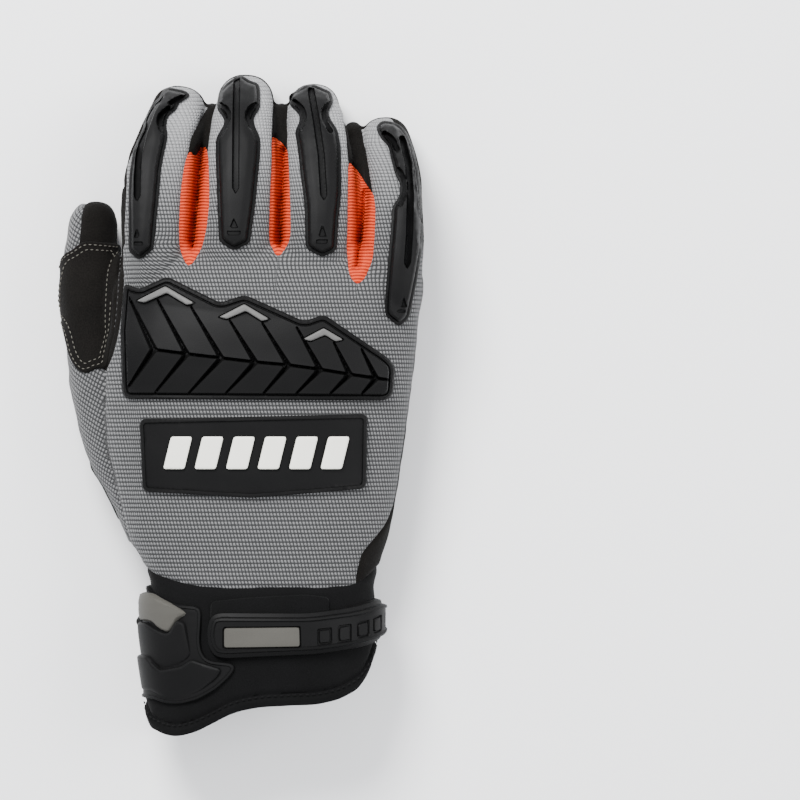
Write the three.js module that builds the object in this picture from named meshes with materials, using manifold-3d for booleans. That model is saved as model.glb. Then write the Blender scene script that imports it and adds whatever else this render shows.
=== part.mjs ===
// Mechanic glove, right hand, lying palm down. Millimetres.
// +Z is the back of the hand, +Y the fingertips, +X the little finger, -X the thumb.
// The origin is under the middle of the glove, on the surface that it lies on.
import * as THREE from "three";
import { mergeVertices } from "three/addons/utils/BufferGeometryUtils.js";
import Module from "manifold-3d";

const wasm = await Module();
wasm.setup();

// Hand
const PALM_WIDTH = 118;
const PALM_LENGTH = 122;
const PALM_DEPTH = 50;
const KNUCKLE_HEIGHT = 32;
const FINGER_DEPTH = 28;
const TIP_CAP = 10;
const TIP_FLATTENING = 0.6;
const INDEX_LENGTH = 67;
const INDEX_WIDTH = 28;
const MIDDLE_LENGTH = 70.5;
const MIDDLE_WIDTH = 31.5;
const RING_LENGTH = 71;
const RING_WIDTH = 29;
const LITTLE_LENGTH = 62.5;
const LITTLE_WIDTH = 24.5;
const GUSSET_WRAP = 7;
const MIDDLE_GUSSET_WRAP = 4.8;
const THUMB_LENGTH = 110;
const THUMB_WIDTH = 23;
const THUMB_DEPTH = 23;

// Cuff
const CUFF_WIDTH = 88;
const CUFF_LENGTH = 50;
const CUFF_DEPTH = 45;
const HEM_WIDTH = 4.5;
const HEM_RISE = 0.6;

// Thicknesses
const WALL = 2;
const SEAM_GAP = 0.3;
const PATCH = 1.3;
const SADDLE = 1.4;
const FLANGE = 1.4;
const FINGER_GUARD = 3.8;
const GUARD_TIP_HEIGHT = 10;
const KNUCKLE_GUARD = 5;
const KNUCKLE_GROOVE = 2;
const CHEVRON_WIDTH = 2.2;
const CHEVRON_PROUD = 0.4;
const GUARD_BORDER = 1.6;
const BADGE = 2.4;
const BADGE_FRAME = 1.8;
const BADGE_RECESS = 0.7;
const BAR_COUNT = 6;
const BAR_HEIGHT = 1;
const STRAP = 4.4;
const STRAP_FLANGE = 2.2;
const STRAP_BORDER = 2.6;
const PLATE = 1.2;
const LOOP_PAD = 1;
const SIDE_FLANGE = 1.4;
const SIDE_SCALE = 4;
const TAG = 1;
const TAG_LENGTH = 17;
const TAG_WIDTH = 11;

// Where seams and edges run: heights as shares of the depth they lie in
const MIDDLE_SHARE = 0.56;
const SIDE_SEAM = 0.54;
const FINGER_SEAM = 0.16;
const THUMB_SEAM_TURN = 0.95;
const SADDLE_LOW = 0.3;
const SIDE_GUARD_LOW = 0.26;
const HEEL_PATCH_TOP = 0.4;
const TAG_TOP = 0.3;
const TAG_MIDDLE = -0.08;
const STRAP_LAP = 1;

// Marks on the guards and bars on the badge
const GUARD_GROOVE_SHARE = 0.1;
const ARROW_LENGTH = 5;
const ARROW_WIDTH = 4;
const BAR_LEFT = -0.25;
const BAR_STEP = 0.1;
const BAR_SHARE = 0.68;
const BAR_LOW = -0.2;
const BAR_TOP = -0.1;
const BAR_LEAN = 3;

// Facets round each tube
const PALM_SIDES = 18;
const FINGER_SIDES = 10;
const THUMB_SIDES = 10;
const INNER_SIDES_SHARE = 0.8;
const SLIVER = 2;
const TOP = 90;
const FAR = 250;

const PALM_FLOOR = PATCH + SEAM_GAP;
const CUFF_FLOOR = STRAP + 2 * SEAM_GAP;
const WRIST_Y = -0.56 * PALM_LENGTH;
const CUFF_CENTRE = 0.051 * PALM_WIDTH;

// Cross-sections of the hand from wrist to knuckles: y is a share of the palm's
// length, left and right of its width, base and top of its depth.
const HAND_SECTIONS = [
  { y: -0.56, left: -0.312, right: 0.425, base: 0.05, top: 0.94 },
  { y: -0.38, left: -0.385, right: 0.472, base: -0.04, top: 0.98 },
  { y: -0.2, left: -0.432, right: 0.503, base: -0.04, top: 1.0 },
  { y: 0.105, left: -0.446, right: 0.547, base: 0.01, top: 1.03 },
  { y: 0.26, left: -0.416, right: 0.563, base: 0.08, top: 1.02 },
  { y: 0.43, left: -0.385, right: 0.565, base: 0.24, top: 0.9 },
  { y: 0.465, left: -0.36, right: 0.54, base: 0.36, top: 0.8 },
];

// Cross-sections of the cuff, down from the wrist: drop is a share of its length.
const CUFF_SECTIONS = [
  { drop: 1.6, half: 0.49, base: 0.02, top: 1.0 },
  { drop: 0.8, half: 0.502, base: 0.0, top: 1.02 },
  { drop: 0.15, half: 0.5, base: 0.0, top: 1.01 },
];

// Fingers: knuckle is where the finger leaves the palm, as a share of the palm's
// length. Centre (share of the palm's width) and half width (share of the
// finger's width) go with the stations of FINGER_ARCH.
const FINGERS = {
  index: {
    knuckle: 0.442,
    length: INDEX_LENGTH,
    width: INDEX_WIDTH,
    centre: [-0.263, -0.284, -0.278, -0.265, -0.237, -0.214],
    half: [0.44, 0.46, 0.488, 0.5, 0.464, 0.405],
  },
  middle: {
    knuckle: 0.452,
    length: MIDDLE_LENGTH,
    width: MIDDLE_WIDTH,
    centre: [-0.029, -0.029, -0.019, -0.007, -0.003, 0.003],
    half: [0.476, 0.5, 0.49, 0.451, 0.41, 0.355],
  },
  ring: {
    knuckle: 0.421,
    length: RING_LENGTH,
    width: RING_WIDTH,
    centre: [0.229, 0.239, 0.247, 0.242, 0.237, 0.226],
    half: [0.483, 0.49, 0.5, 0.486, 0.436, 0.365],
  },
  little: {
    knuckle: 0.375,
    length: LITTLE_LENGTH,
    width: LITTLE_WIDTH,
    centre: [0.449, 0.473, 0.481, 0.481, 0.473, 0.455],
    half: [0.469, 0.5, 0.492, 0.476, 0.471, 0.42],
  },
};

// How every finger bends down: at is a share of its length from the knuckle,
// height a share of the way down from knuckle to tip, deep of the finger's depth.
const FINGER_ARCH = [
  { at: -0.4, height: 0.75, deep: 0.38 },
  { at: 0, height: 1.0, deep: 0.5 },
  { at: 0.25, height: 0.97, deep: 0.49 },
  { at: 0.5, height: 0.79, deep: 0.46 },
  { at: 0.68, height: 0.52, deep: 0.44 },
  { at: 0.85, height: 0, deep: 0.39 },
];

// Thumb from its root to the tip: y is a share of the thumb's length back from
// its tip, centre a share of the palm's width, height of the palm's depth.
const THUMB_TIP_Y = 0.641 * PALM_LENGTH;
const THUMB_SECTIONS = [
  { back: 1.16, centre: -0.27, height: 0.45, wide: 0.53, deep: 0.56 },
  { back: 1.0, centre: -0.33, height: 0.44, wide: 0.56, deep: 0.56 },
  { back: 0.84, centre: -0.405, height: 0.42, wide: 0.55, deep: 0.54 },
  { back: 0.5, centre: -0.481, height: 0.35, wide: 0.485, deep: 0.5 },
  { back: 0.2, centre: -0.495, height: 0.27, wide: 0.455, deep: 0.46 },
  { back: 0.1, centre: -0.492, height: 0.245, wide: 0.4, deep: 0.4 },
];

// Outlines on the back of the hand, as shares of the palm's width and length
const KNUCKLE_OUTLINE = [
  [-0.387, 0.369], [-0.33, 0.353], [-0.237, 0.394], [-0.07, 0.312],
  [0.01, 0.337], [0.195, 0.254], [0.261, 0.276], [0.464, 0.142],
  [0.488, 0.115], [0.482, 0.028], [0.458, 0.011], [-0.36, 0.012],
  [-0.387, 0.036], [-0.393, 0.2],
];
const SPINE_LINE = [
  [-0.279, 0.167], [-0.173, 0.154], [-0.063, 0.141], [0.045, 0.129],
  [0.149, 0.12], [0.25, 0.106], [0.344, 0.091], [0.427, 0.079],
];
const UPPER_GROOVES = [
  [-0.361, 0.329], [-0.267, 0.32], [-0.161, 0.3], [-0.037, 0.257],
  [0.066, 0.249], [0.175, 0.236], [0.293, 0.189], [0.38, 0.17],
];
const LOWER_GROOVES = [
  [-0.364, 0.046], [-0.272, 0.037], [-0.165, 0.035], [-0.047, 0.035],
  [0.075, 0.039], [0.177, 0.037], [0.285, 0.037], [0.385, 0.037],
];
const CHEVRONS = [
  [[-0.328, 0.317], [-0.243, 0.354], [-0.156, 0.309]],
  [[-0.063, 0.266], [0.009, 0.296], [0.081, 0.26]],
  [[0.196, 0.199], [0.262, 0.232], [0.321, 0.197]],
];
const BADGE_OUTLINE = [
  [-0.325, -0.046], [0.4, -0.031], [0.396, -0.26], [0.035, -0.288],
  [-0.317, -0.27],
];

// Guards on the fingers: across in half widths of the finger, along in shares of
// its length. Groove is the slot down the middle, arrow the small mark under it.
const FINGER_GUARDS = {
  index: {
    outline: [
      [-0.42, 1.0], [0.19, 0.977], [0.38, 0.949], [0.0, 0.892],
      [-0.23, 0.819], [-0.06, 0.706], [0.02, 0.525], [0.0, 0.063],
      [-0.4, 0.001], [-0.76, 0.052], [-0.81, 0.368], [-1.03, 0.647],
      [-0.97, 0.762], [-1.08, 0.819], [-0.94, 0.909], [-0.69, 0.966],
    ],
    groove: [[-0.6, 0.93], [-0.58, 0.62], [-0.46, 0.294]],
    arrow: [-0.47, 0.16],
  },
  middle: {
    outline: [
      [-0.24, 1.0], [-0.59, 0.962], [-0.9, 0.909], [-0.87, 0.806],
      [-0.58, 0.753], [-0.75, 0.642], [-0.55, 0.365], [-0.36, 0.086],
      [0.0, 0.035], [0.37, 0.075], [0.44, 0.274], [0.53, 0.6],
      [0.32, 0.753], [0.52, 0.812], [0.5, 0.909], [0.06, 0.989],
    ],
    groove: [[-0.25, 0.95], [-0.12, 0.6], [-0.03, 0.315]],
    arrow: [-0.02, 0.18],
  },
  ring: {
    outline: [
      [-0.03, 1.0], [-0.36, 0.98], [-0.82, 0.94], [-0.82, 0.873],
      [-0.49, 0.799], [-0.67, 0.729], [-0.52, 0.548], [-0.36, 0.101],
      [0.13, 0.053], [0.48, 0.091], [0.5, 0.25], [0.69, 0.639],
      [0.66, 0.767], [0.49, 0.841], [0.72, 0.895], [0.66, 0.958],
    ],
    groove: [[-0.04, 0.93], [0.02, 0.62], [0.13, 0.323]],
    arrow: [0.09, 0.19],
  },
  little: {
    outline: [
      [-0.25, 0.958], [0.04, 1.0], [0.38, 0.994], [0.77, 0.964],
      [0.98, 0.879], [1.0, 0.685], [1.04, 0.328], [0.97, 0.15],
      [0.79, -0.108], [0.7, -0.224], [0.44, -0.266], [-0.04, -0.196],
      [-0.1, -0.04], [0.02, 0.467], [0.27, 0.564], [0.11, 0.673],
      [-0.12, 0.89],
    ],
    groove: [[0.6, 0.855], [0.66, 0.528], [0.56, 0.04]],
    arrow: [0.47, -0.12],
  },
};

// Gussets between the fingers: wrap is how far they reach round the two fingers
const GUSSETS = [
  { name: "index_middle", pair: ["index", "middle"], wrap: GUSSET_WRAP },
  { name: "middle_ring", pair: ["middle", "ring"], wrap: MIDDLE_GUSSET_WRAP },
  { name: "ring_little", pair: ["ring", "little"], wrap: GUSSET_WRAP },
];
const GUSSET_SHAPE = [
  { at: -0.16, wrap: 0.5 }, { at: 0.28, wrap: 1 }, { at: 0.66, wrap: 0.35 },
];

// Outlines on the palm, as shares of the palm's width and length
const UPPER_PATCH_OUTLINE = [
  [0.3, 0.3], [0.2, 0.4], [0.111, 0.33], [0.006, 0.4], [-0.104, 0.32],
  [-0.22, 0.4], [-0.295, 0.32], [-0.3, 0.254], [-0.277, 0.195],
  [-0.205, 0.165], [-0.053, 0.15], [0.075, 0.143], [0.228, 0.15],
  [0.32, 0.12], [0.35, 0.2],
];
const LOWER_PATCH_OUTLINE = [
  [0.36, -0.27], [0.305, -0.34], [0.152, -0.39], [0.024, -0.385],
  [-0.104, -0.33], [-0.201, -0.202], [-0.231, -0.074], [-0.231, 0.045],
  [-0.18, 0.074], [0.141, 0.069], [0.192, 0.045], [0.18, 0.0],
  [0.049, -0.069], [-0.012, -0.108], [-0.017, -0.143], [0.024, -0.197],
  [0.131, -0.227], [0.264, -0.173],
];
const HEEL_PATCH_OUTLINE = [
  [-0.36, 0.03], [-0.46, -0.03], [-0.49, -0.09], [-0.475, -0.19],
  [-0.41, -0.33], [-0.34, -0.42], [-0.28, -0.4], [-0.31, -0.26],
  [-0.34, -0.1],
];

// Seams, as shares of the palm's width and length
const WRIST_SEAM = [
  [-0.6, -0.53], [-0.316, -0.537], [0.045, -0.606], [0.279, -0.606],
  [0.426, -0.56], [0.7, -0.53],
];
const THUMB_SEAM = [
  [-0.4, 1.0], [-0.3985, 0.36], [-0.42, 0.2], [-0.445, 0.01],
  [-0.445, -0.1], [-0.405, -0.28], [-0.36, -0.41], [-0.35, -0.52],
];
const SADDLE_OUTLINE = [
  [-0.56, 0.43], [-0.395, 0.43], [-0.395, 0.1], [-0.5, 0.08], [-0.56, 0.12],
  [-0.62, 0.2], [-0.62, 0.41],
];

// Cuff outlines: across in half widths of the cuff from its middle, down in
// shares of its length from the wrist
const CUFF_END = [
  [-1.3, 0.97], [-0.98, 0.99], [-0.92, 1.06], [-0.806, 1.127],
  [-0.678, 1.142], [-0.42, 1.089], [-0.016, 0.96], [0.66, 0.86],
  [0.96, 0.68], [1.3, 0.5],
];
const STRAP_BACK = [
  [-0.34, 0.175], [1.3, 0.06], [1.3, 0.46], [-0.34, 0.558], [-0.42, 0.5],
  [-0.42, 0.23],
];
const STRAP_PALM = [
  [1.3, 0.06], [0.4, 0.28], [-0.55, 0.38], [-0.74, 0.4], [-0.86, 0.55],
  [-0.74, 0.72], [-0.2, 0.66], [0.4, 0.58], [1.3, 0.46],
];
const ID_PLATE = [[-0.282, 0.318], [0.358, 0.31], [0.362, 0.462], [-0.282, 0.47]];
const LOOP_PAD_OUTLINE = [
  [-0.62, 0.05], [0.2, -0.02], [0.66, 0.02], [0.66, 0.16], [-0.1, 0.28],
  [-0.62, 0.33],
];
const SIDE_OUTLINE = [
  [-1.3, 0.0], [-0.949, 0.0], [-0.712, 0.088], [-0.514, 0.149],
  [-0.49, 0.19], [-0.53, 0.424], [-0.51, 0.6], [-0.32, 0.66],
  [-0.5, 0.83], [-0.712, 0.89], [-1.3, 0.8],
];
const SIDE_SCALES = [
  [[-1.3, 0.31], [-0.66, 0.31], [-0.59, 0.5], [-0.75, 0.595], [-1.3, 0.56]],
  [[-1.3, 0.63], [-0.42, 0.68], [-0.55, 0.8], [-0.72, 0.85], [-1.3, 0.76]],
];
const GREY_SCALE = [
  [-1.3, 0.06], [-0.91, 0.08], [-0.63, 0.205], [-0.75, 0.275], [-1.3, 0.25],
];

// Linear reading of a list of values kept at a list of stations
function readAt(stations, values, where) {
  const last = stations.length - 1;
  if (where <= stations[0]) return values[0];
  if (where >= stations[last]) return values[last];
  const next = stations.findIndex((station) => station >= where);
  const span = stations[next] - stations[next - 1];
  const share = (where - stations[next - 1]) / span;
  return values[next - 1] + (values[next] - values[next - 1]) * share;
}

// One closed oval between four sides, squarer than an ellipse as power grows
function oval(left, right, base, top, sides, power) {
  const points = [];
  for (let i = 0; i < sides; i += 1) {
    const turn = (2 * Math.PI * i) / sides;
    const round = (value) => Math.sign(value) * Math.abs(value) ** (2 / power);
    points.push([
      (left + right) / 2 + ((right - left) / 2) * round(Math.cos(turn)),
      (base + top) / 2 + ((top - base) / 2) * round(Math.sin(turn)),
    ]);
  }
  return points;
}

// A closed solid from its vertices and triangles
function solidFrom(vertices, triangles) {
  let volume = 0;
  for (const [a, b, c] of triangles) {
    volume += vertices[a].dot(vertices[b].clone().cross(vertices[c]));
  }
  const facing = triangles.map(([a, b, c]) => (volume > 0 ? [a, b, c] : [a, c, b]));
  return new wasm.Manifold(new wasm.Mesh({
    numProp: 3,
    vertProperties: new Float32Array(vertices.flatMap((v) => v.toArray())),
    triVerts: new Uint32Array(facing.flat()),
  }));
}

// Joins rings of equal length into a tube with a fan over each end
function loft(rings) {
  const count = rings[0].length;
  const vertices = rings.flat();
  const triangles = [];
  for (let row = 0; row < rings.length - 1; row += 1) {
    for (let i = 0; i < count; i += 1) {
      const a = row * count + i;
      const b = row * count + ((i + 1) % count);
      triangles.push([a, b, b + count], [a, b + count, a + count]);
    }
  }
  for (const [row, flip] of [[0, true], [rings.length - 1, false]]) {
    const middle = new THREE.Vector3();
    rings[row].forEach((point) => middle.addScaledVector(point, 1 / count));
    const hub = vertices.push(middle) - 1;
    for (let i = 0; i < count; i += 1) {
      const a = row * count + i;
      const b = row * count + ((i + 1) % count);
      triangles.push(flip ? [b, a, hub] : [a, b, hub]);
    }
  }
  return solidFrom(vertices, triangles);
}

// A solid from a three.js geometry
function solidOf(geometry) {
  geometry.deleteAttribute("normal");
  geometry.deleteAttribute("uv");
  const merged = mergeVertices(geometry, 1e-5);
  return new wasm.Manifold(new wasm.Mesh({
    numProp: 3,
    vertProperties: new Float32Array(merged.attributes.position.array),
    triVerts: new Uint32Array(merged.index.array),
  }));
}

// Upright block over an outline in the XY plane
function prism(outline, low = -TOP, high = TOP) {
  const turned = THREE.ShapeUtils.isClockWise(outline.map(([x, y]) => ({ x, y })));
  const points = (turned ? [...outline].reverse() : outline)
    .map(([x, y]) => new THREE.Vector2(x, y));
  const geometry = new THREE.ExtrudeGeometry(new THREE.Shape(points), {
    depth: high - low,
    bevelEnabled: false,
    steps: 1,
  });
  geometry.translate(0, 0, low);
  return solidOf(geometry);
}

// Everything between two heights
function slab(low, high) {
  return prism([[-FAR, -FAR], [FAR, -FAR], [FAR, FAR], [-FAR, FAR]], low, high);
}

// Moves each corner of a closed outline outwards by a distance, inwards if negative
function offset(outline, distance) {
  const clockwise = THREE.ShapeUtils.isClockWise(outline.map(([x, y]) => ({ x, y })));
  const side = clockwise ? -1 : 1;
  return outline.map((here, i) => {
    const before = outline[(i + outline.length - 1) % outline.length];
    const after = outline[(i + 1) % outline.length];
    const into = new THREE.Vector2(here[0] - before[0], here[1] - before[1]).normalize();
    const away = new THREE.Vector2(after[0] - here[0], after[1] - here[1]).normalize();
    const normal = new THREE.Vector2(into.y + away.y, -into.x - away.x).normalize();
    const lean = Math.max(0.5, normal.x * into.y - normal.y * into.x);
    const reach = (side * distance) / lean;
    return [here[0] + normal.x * reach, here[1] + normal.y * reach];
  });
}

// Upright blocks along a line of points, joined, as wide as width
function ribbon(line, width, low = -TOP, high = TOP) {
  const blocks = [];
  for (let i = 0; i < line.length - 1; i += 1) {
    const from = new THREE.Vector2(...line[i]);
    const to = new THREE.Vector2(...line[i + 1]);
    const along = to.clone().sub(from).normalize();
    const across = new THREE.Vector2(-along.y, along.x).multiplyScalar(width / 2);
    const reach = along.multiplyScalar(width * 0.2);
    const corners = [
      from.clone().sub(reach).add(across),
      to.clone().add(reach).add(across),
      to.clone().add(reach).sub(across),
      from.clone().sub(reach).sub(across),
    ];
    blocks.push(prism(corners.map((corner) => corner.toArray()), low, high));
  }
  return joined(blocks);
}

// Facets round a tube: the hidden inner face takes fewer
function facets(sides, grow) {
  return grow < 0 ? 2 * Math.round((sides * INNER_SIDES_SHARE) / 2) : sides;
}

function joined(solids) {
  return solids.reduce((all, solid) => all.add(solid));
}

// The hand and cuff as one tube, grown outwards by a distance
function palmForm(grow) {
  const sides = facets(PALM_SIDES, grow);
  const floor = PALM_FLOOR - grow;
  const ring = (y, left, right, base, top, power, lowest) => {
    const points = oval(left - grow, right + grow, base - grow, top + grow, sides, power);
    return points.map(([x, z]) => new THREE.Vector3(x, y, Math.max(z, lowest)));
  };
  const cuff = CUFF_SECTIONS.map((row) => ring(
    WRIST_Y - row.drop * CUFF_LENGTH,
    CUFF_CENTRE - row.half * CUFF_WIDTH,
    CUFF_CENTRE + row.half * CUFF_WIDTH,
    CUFF_FLOOR + row.base * CUFF_DEPTH,
    CUFF_FLOOR + row.top * CUFF_DEPTH,
    2.3,
    -TOP,
  ));
  const last = HAND_SECTIONS.length - 1;
  const hand = HAND_SECTIONS.map((row, i) => ring(
    row.y * PALM_LENGTH + (i === last ? grow : 0),
    row.left * PALM_WIDTH,
    row.right * PALM_WIDTH,
    PALM_FLOOR + row.base * PALM_DEPTH,
    PALM_FLOOR + row.top * PALM_DEPTH,
    2.5,
    i === 0 ? -TOP : floor,
  ));
  return loft([...cuff, ...hand]);
}

// Rings across a bent tube, with a rounded cap at its last station
function tubeRings(stations, cap, sides, grow, lowest) {
  const rings = [];
  const addRing = (centre, ahead, wide, deep) => {
    const across = new THREE.Vector3(1, 0, 0);
    across.addScaledVector(ahead, -across.dot(ahead)).normalize();
    const up = across.clone().cross(ahead);
    const points = oval(-wide, wide, -deep, deep, sides, 2.3);
    rings.push(points.map(([x, z]) => {
      const point = centre.clone().addScaledVector(across, x).addScaledVector(up, z);
      point.z = Math.max(point.z, lowest);
      return point;
    }));
  };
  stations.forEach((station, i) => {
    const before = stations[Math.max(i - 1, 0)].centre;
    const after = stations[Math.min(i + 1, stations.length - 1)].centre;
    const ahead = after.clone().sub(before).normalize();
    addRing(station.centre, ahead, station.wide + grow, station.deep + grow);
  });
  const end = stations[stations.length - 1];
  const ahead = end.centre.clone().sub(stations[stations.length - 2].centre).normalize();
  for (const turn of [0.55, 1.1]) {
    const centre = end.centre.clone().addScaledVector(ahead, (cap + grow) * Math.sin(turn));
    const share = Math.cos(turn) ** 0.8;
    addRing(centre, ahead, (end.wide + grow) * share, (end.deep + grow) * share);
  }
  return rings;
}

// Middle line and half sizes of a finger at each station of the arch
function fingerStations(finger) {
  const endDeep = FINGER_ARCH[FINGER_ARCH.length - 1].deep * FINGER_DEPTH;
  const tipHeight = endDeep - TIP_FLATTENING;
  return FINGER_ARCH.map((row, i) => ({
    centre: new THREE.Vector3(
      finger.centre[i] * PALM_WIDTH,
      finger.knuckle * PALM_LENGTH + row.at * finger.length,
      tipHeight + (KNUCKLE_HEIGHT - tipHeight) * row.height,
    ),
    wide: finger.half[i] * finger.width,
    deep: row.deep * FINGER_DEPTH,
  }));
}

function fingerForm(finger, grow) {
  const lowest = Math.max(0, -grow);
  return loft(tubeRings(fingerStations(finger), TIP_CAP, facets(FINGER_SIDES, grow), grow, lowest));
}

function thumbStations() {
  return THUMB_SECTIONS.map((row) => ({
    centre: new THREE.Vector3(
      row.centre * PALM_WIDTH,
      THUMB_TIP_Y - row.back * THUMB_LENGTH,
      PALM_FLOOR + row.height * PALM_DEPTH,
    ),
    wide: row.wide * THUMB_WIDTH,
    deep: row.deep * THUMB_DEPTH,
  }));
}

function thumbForm(grow) {
  const lowest = Math.max(0, -grow);
  return loft(tubeRings(thumbStations(), TIP_CAP, facets(THUMB_SIDES, grow), grow, lowest));
}

function handForm(grow) {
  const fingers = Object.values(FINGERS).map((finger) => fingerForm(finger, grow));
  return joined([palmForm(grow), thumbForm(grow), ...fingers]);
}

// Outline given in shares of the palm, of the cuff or of one finger, in millimetres
function onPalm(outline) {
  return outline.map(([x, y]) => [x * PALM_WIDTH, y * PALM_LENGTH]);
}

function onCuff(outline) {
  return outline.map(([across, down]) => [
    CUFF_CENTRE + across * 0.5 * CUFF_WIDTH,
    WRIST_Y - down * CUFF_LENGTH,
  ]);
}

function onFinger(finger, outline) {
  const stations = FINGER_ARCH.map((row) => row.at);
  return outline.map(([across, along]) => [
    readAt(stations, finger.centre, along) * PALM_WIDTH
      + across * readAt(stations, finger.half, along) * finger.width,
    finger.knuckle * PALM_LENGTH + along * finger.length,
  ]);
}

// Everything above the side seam between the back and the palm of the glove
function backHalf(lower) {
  const band = (x0, x1, rows) => loft(rows.map(([y, z]) => [
    new THREE.Vector3(x0, y, z - lower),
    new THREE.Vector3(x1, y, z - lower),
    new THREE.Vector3(x1, y, TOP),
    new THREE.Vector3(x0, y, TOP),
  ]));
  const seam = PALM_FLOOR + SIDE_SEAM * PALM_DEPTH;
  const rise = KNUCKLE_HEIGHT + FINGER_SEAM * FINGER_DEPTH;
  const edge = HAND_SECTIONS[HAND_SECTIONS.length - 1].y * PALM_LENGTH + 1;
  const parts = [band(-FAR, FAR, [[-FAR, seam], [0.25 * PALM_LENGTH, seam], [edge, rise]])];
  for (const finger of Object.values(FINGERS)) {
    const stations = fingerStations(finger).slice(1);
    const rings = stations.map(({ centre, wide }) => [centre, wide + SEAM_GAP / 2 + lower]);
    const [end, before] = [stations[stations.length - 1], stations[stations.length - 2]];
    const ahead = end.centre.clone().sub(before.centre).normalize();
    rings.push([end.centre.clone().addScaledVector(ahead, 2 * TIP_CAP), end.wide]);
    parts.push(loft(rings.map(([centre, wide]) => {
      const height = centre.z + FINGER_SEAM * FINGER_DEPTH - lower;
      return [
        new THREE.Vector3(centre.x - wide, centre.y, height),
        new THREE.Vector3(centre.x + wide, centre.y, height),
        new THREE.Vector3(centre.x + wide, centre.y, TOP),
        new THREE.Vector3(centre.x - wide, centre.y, TOP),
      ];
    })));
  }
  return joined(parts);
}

// The outer and upper half of the thumb, cut along its middle line
function thumbOuterHalf(lower) {
  const out = new THREE.Vector3(-Math.sin(THUMB_SEAM_TURN), 0, Math.cos(THUMB_SEAM_TURN));
  const across = new THREE.Vector3(Math.cos(THUMB_SEAM_TURN), 0, Math.sin(THUMB_SEAM_TURN));
  const stations = thumbStations();
  const end = stations[stations.length - 1].centre.clone();
  end.y += 3 * TIP_CAP;
  const root = stations[0].centre.clone();
  root.y -= 3 * TIP_CAP;
  const line = [root, ...stations.map((station) => station.centre), end];
  return loft(line.map((centre) => {
    const near = centre.clone().addScaledVector(out, -lower);
    const far = centre.clone().addScaledVector(out, TOP);
    return [
      near.clone().addScaledVector(across, -TOP),
      near.clone().addScaledVector(across, TOP),
      far.clone().addScaledVector(across, TOP),
      far.clone().addScaledVector(across, -TOP),
    ];
  }));
}

// Region beyond a line of points, closed far away on one side
function beyond(line, corners) {
  return prism([...line, ...corners]);
}

function gussetOutline({ pair, wrap }, grow) {
  const [near, next] = pair.map((name) => FINGERS[name]);
  const stations = FINGER_ARCH.map((row) => row.at);
  const edge = (finger, along, side) => readAt(stations, finger.centre, along) * PALM_WIDTH
    + side * readAt(stations, finger.half, along) * finger.width;
  const base = Math.min(near.knuckle, next.knuckle) * PALM_LENGTH;
  const rows = GUSSET_SHAPE.map((row) => {
    const y = base + row.at * near.length;
    const nearEdge = edge(near, (y - near.knuckle * PALM_LENGTH) / near.length, 1);
    const nextEdge = edge(next, (y - next.knuckle * PALM_LENGTH) / next.length, -1);
    const gap = Math.max(0, nextEdge - nearEdge);
    return [(nearEdge + nextEdge) / 2, y, (gap + row.wrap * wrap) / 2];
  });
  const left = rows.map(([x, y, half]) => [x - half, y]);
  const right = rows.map(([x, y, half]) => [x + half, y]).reverse();
  return offset([...left, ...right], grow);
}

const parts = [];

// Adds one named piece in its own finish
function add(name, solid, finish) {
  parts.push({ name, solid, finish });
}

const FINISHES = {
  knit: { color: 0x8b8d8f, roughness: 0.85, metalness: 0 },
  suede: { color: 0x1d1b1a, roughness: 0.95, metalness: 0 },
  rib: { color: 0xe8501e, roughness: 0.8, metalness: 0 },
  neoprene: { color: 0x17171a, roughness: 0.9, metalness: 0 },
  rubber: { color: 0x2a2a2c, roughness: 0.5, metalness: 0 },
  pale_rubber: { color: 0x8f8d89, roughness: 0.5, metalness: 0 },
  white_rubber: { color: 0xe8e6dc, roughness: 0.5, metalness: 0 },
  grip: { color: 0x161616, roughness: 0.7, metalness: 0 },
};

// Cloth shell of the whole glove, open at the cuff
const outer = handForm(0);
const shell = outer.subtract(handForm(-WALL));
const wristSeam = onPalm(WRIST_SEAM);
const handRegion = beyond(wristSeam, [[FAR, FAR], [-FAR, FAR]]);
const cuffTop = wristSeam.map(([x, y]) => [x, y - SEAM_GAP]);
const aboveCuff = beyond(cuffTop, [[FAR, FAR], [-FAR, FAR]]);
const thumbSeam = onPalm(THUMB_SEAM);
const thumbRoot = thumbSeam[thumbSeam.length - 1][1];
const thumbRegion = beyond(thumbSeam, [[-FAR, thumbRoot], [-FAR, FAR]]);
const besideThumb = beyond(
  thumbSeam.map(([x, y]) => [x + SEAM_GAP, y === thumbRoot ? y - SEAM_GAP : y]),
  [[-FAR, thumbRoot - SEAM_GAP], [-FAR, FAR]],
);

const gussets = GUSSETS.map((gusset) => prism(gussetOutline(gusset, 0)));
const gussetCuts = GUSSETS.map((gusset) => prism(gussetOutline(gusset, SEAM_GAP)));
const hand = shell.intersect(handRegion).subtract(besideThumb).subtract(joined(gussetCuts));
add("back_panel", hand.intersect(backHalf(0)), "knit");
add("palm_panel", hand.subtract(backHalf(SEAM_GAP)), "suede");
GUSSETS.forEach(({ name }, i) => {
  add(`gusset_${name}`, shell.subtract(besideThumb).intersect(gussets[i]), "rib");
});

const thumb = shell.intersect(handRegion).intersect(thumbRegion);
add("thumb_back_panel", thumb.intersect(thumbOuterHalf(0)), "knit");
add("thumb_palm_panel", thumb.subtract(thumbOuterHalf(SEAM_GAP)), "suede");

// A plate on the outer surface: between two heights over an outline
function plate(outline, low, high, form = palmForm) {
  return prism(outline).intersect(form(high)).subtract(form(low));
}

const middle = PALM_FLOOR + MIDDLE_SHARE * PALM_DEPTH;
const above = slab(middle, TOP);
const below = slab(-TOP, middle);

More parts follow.
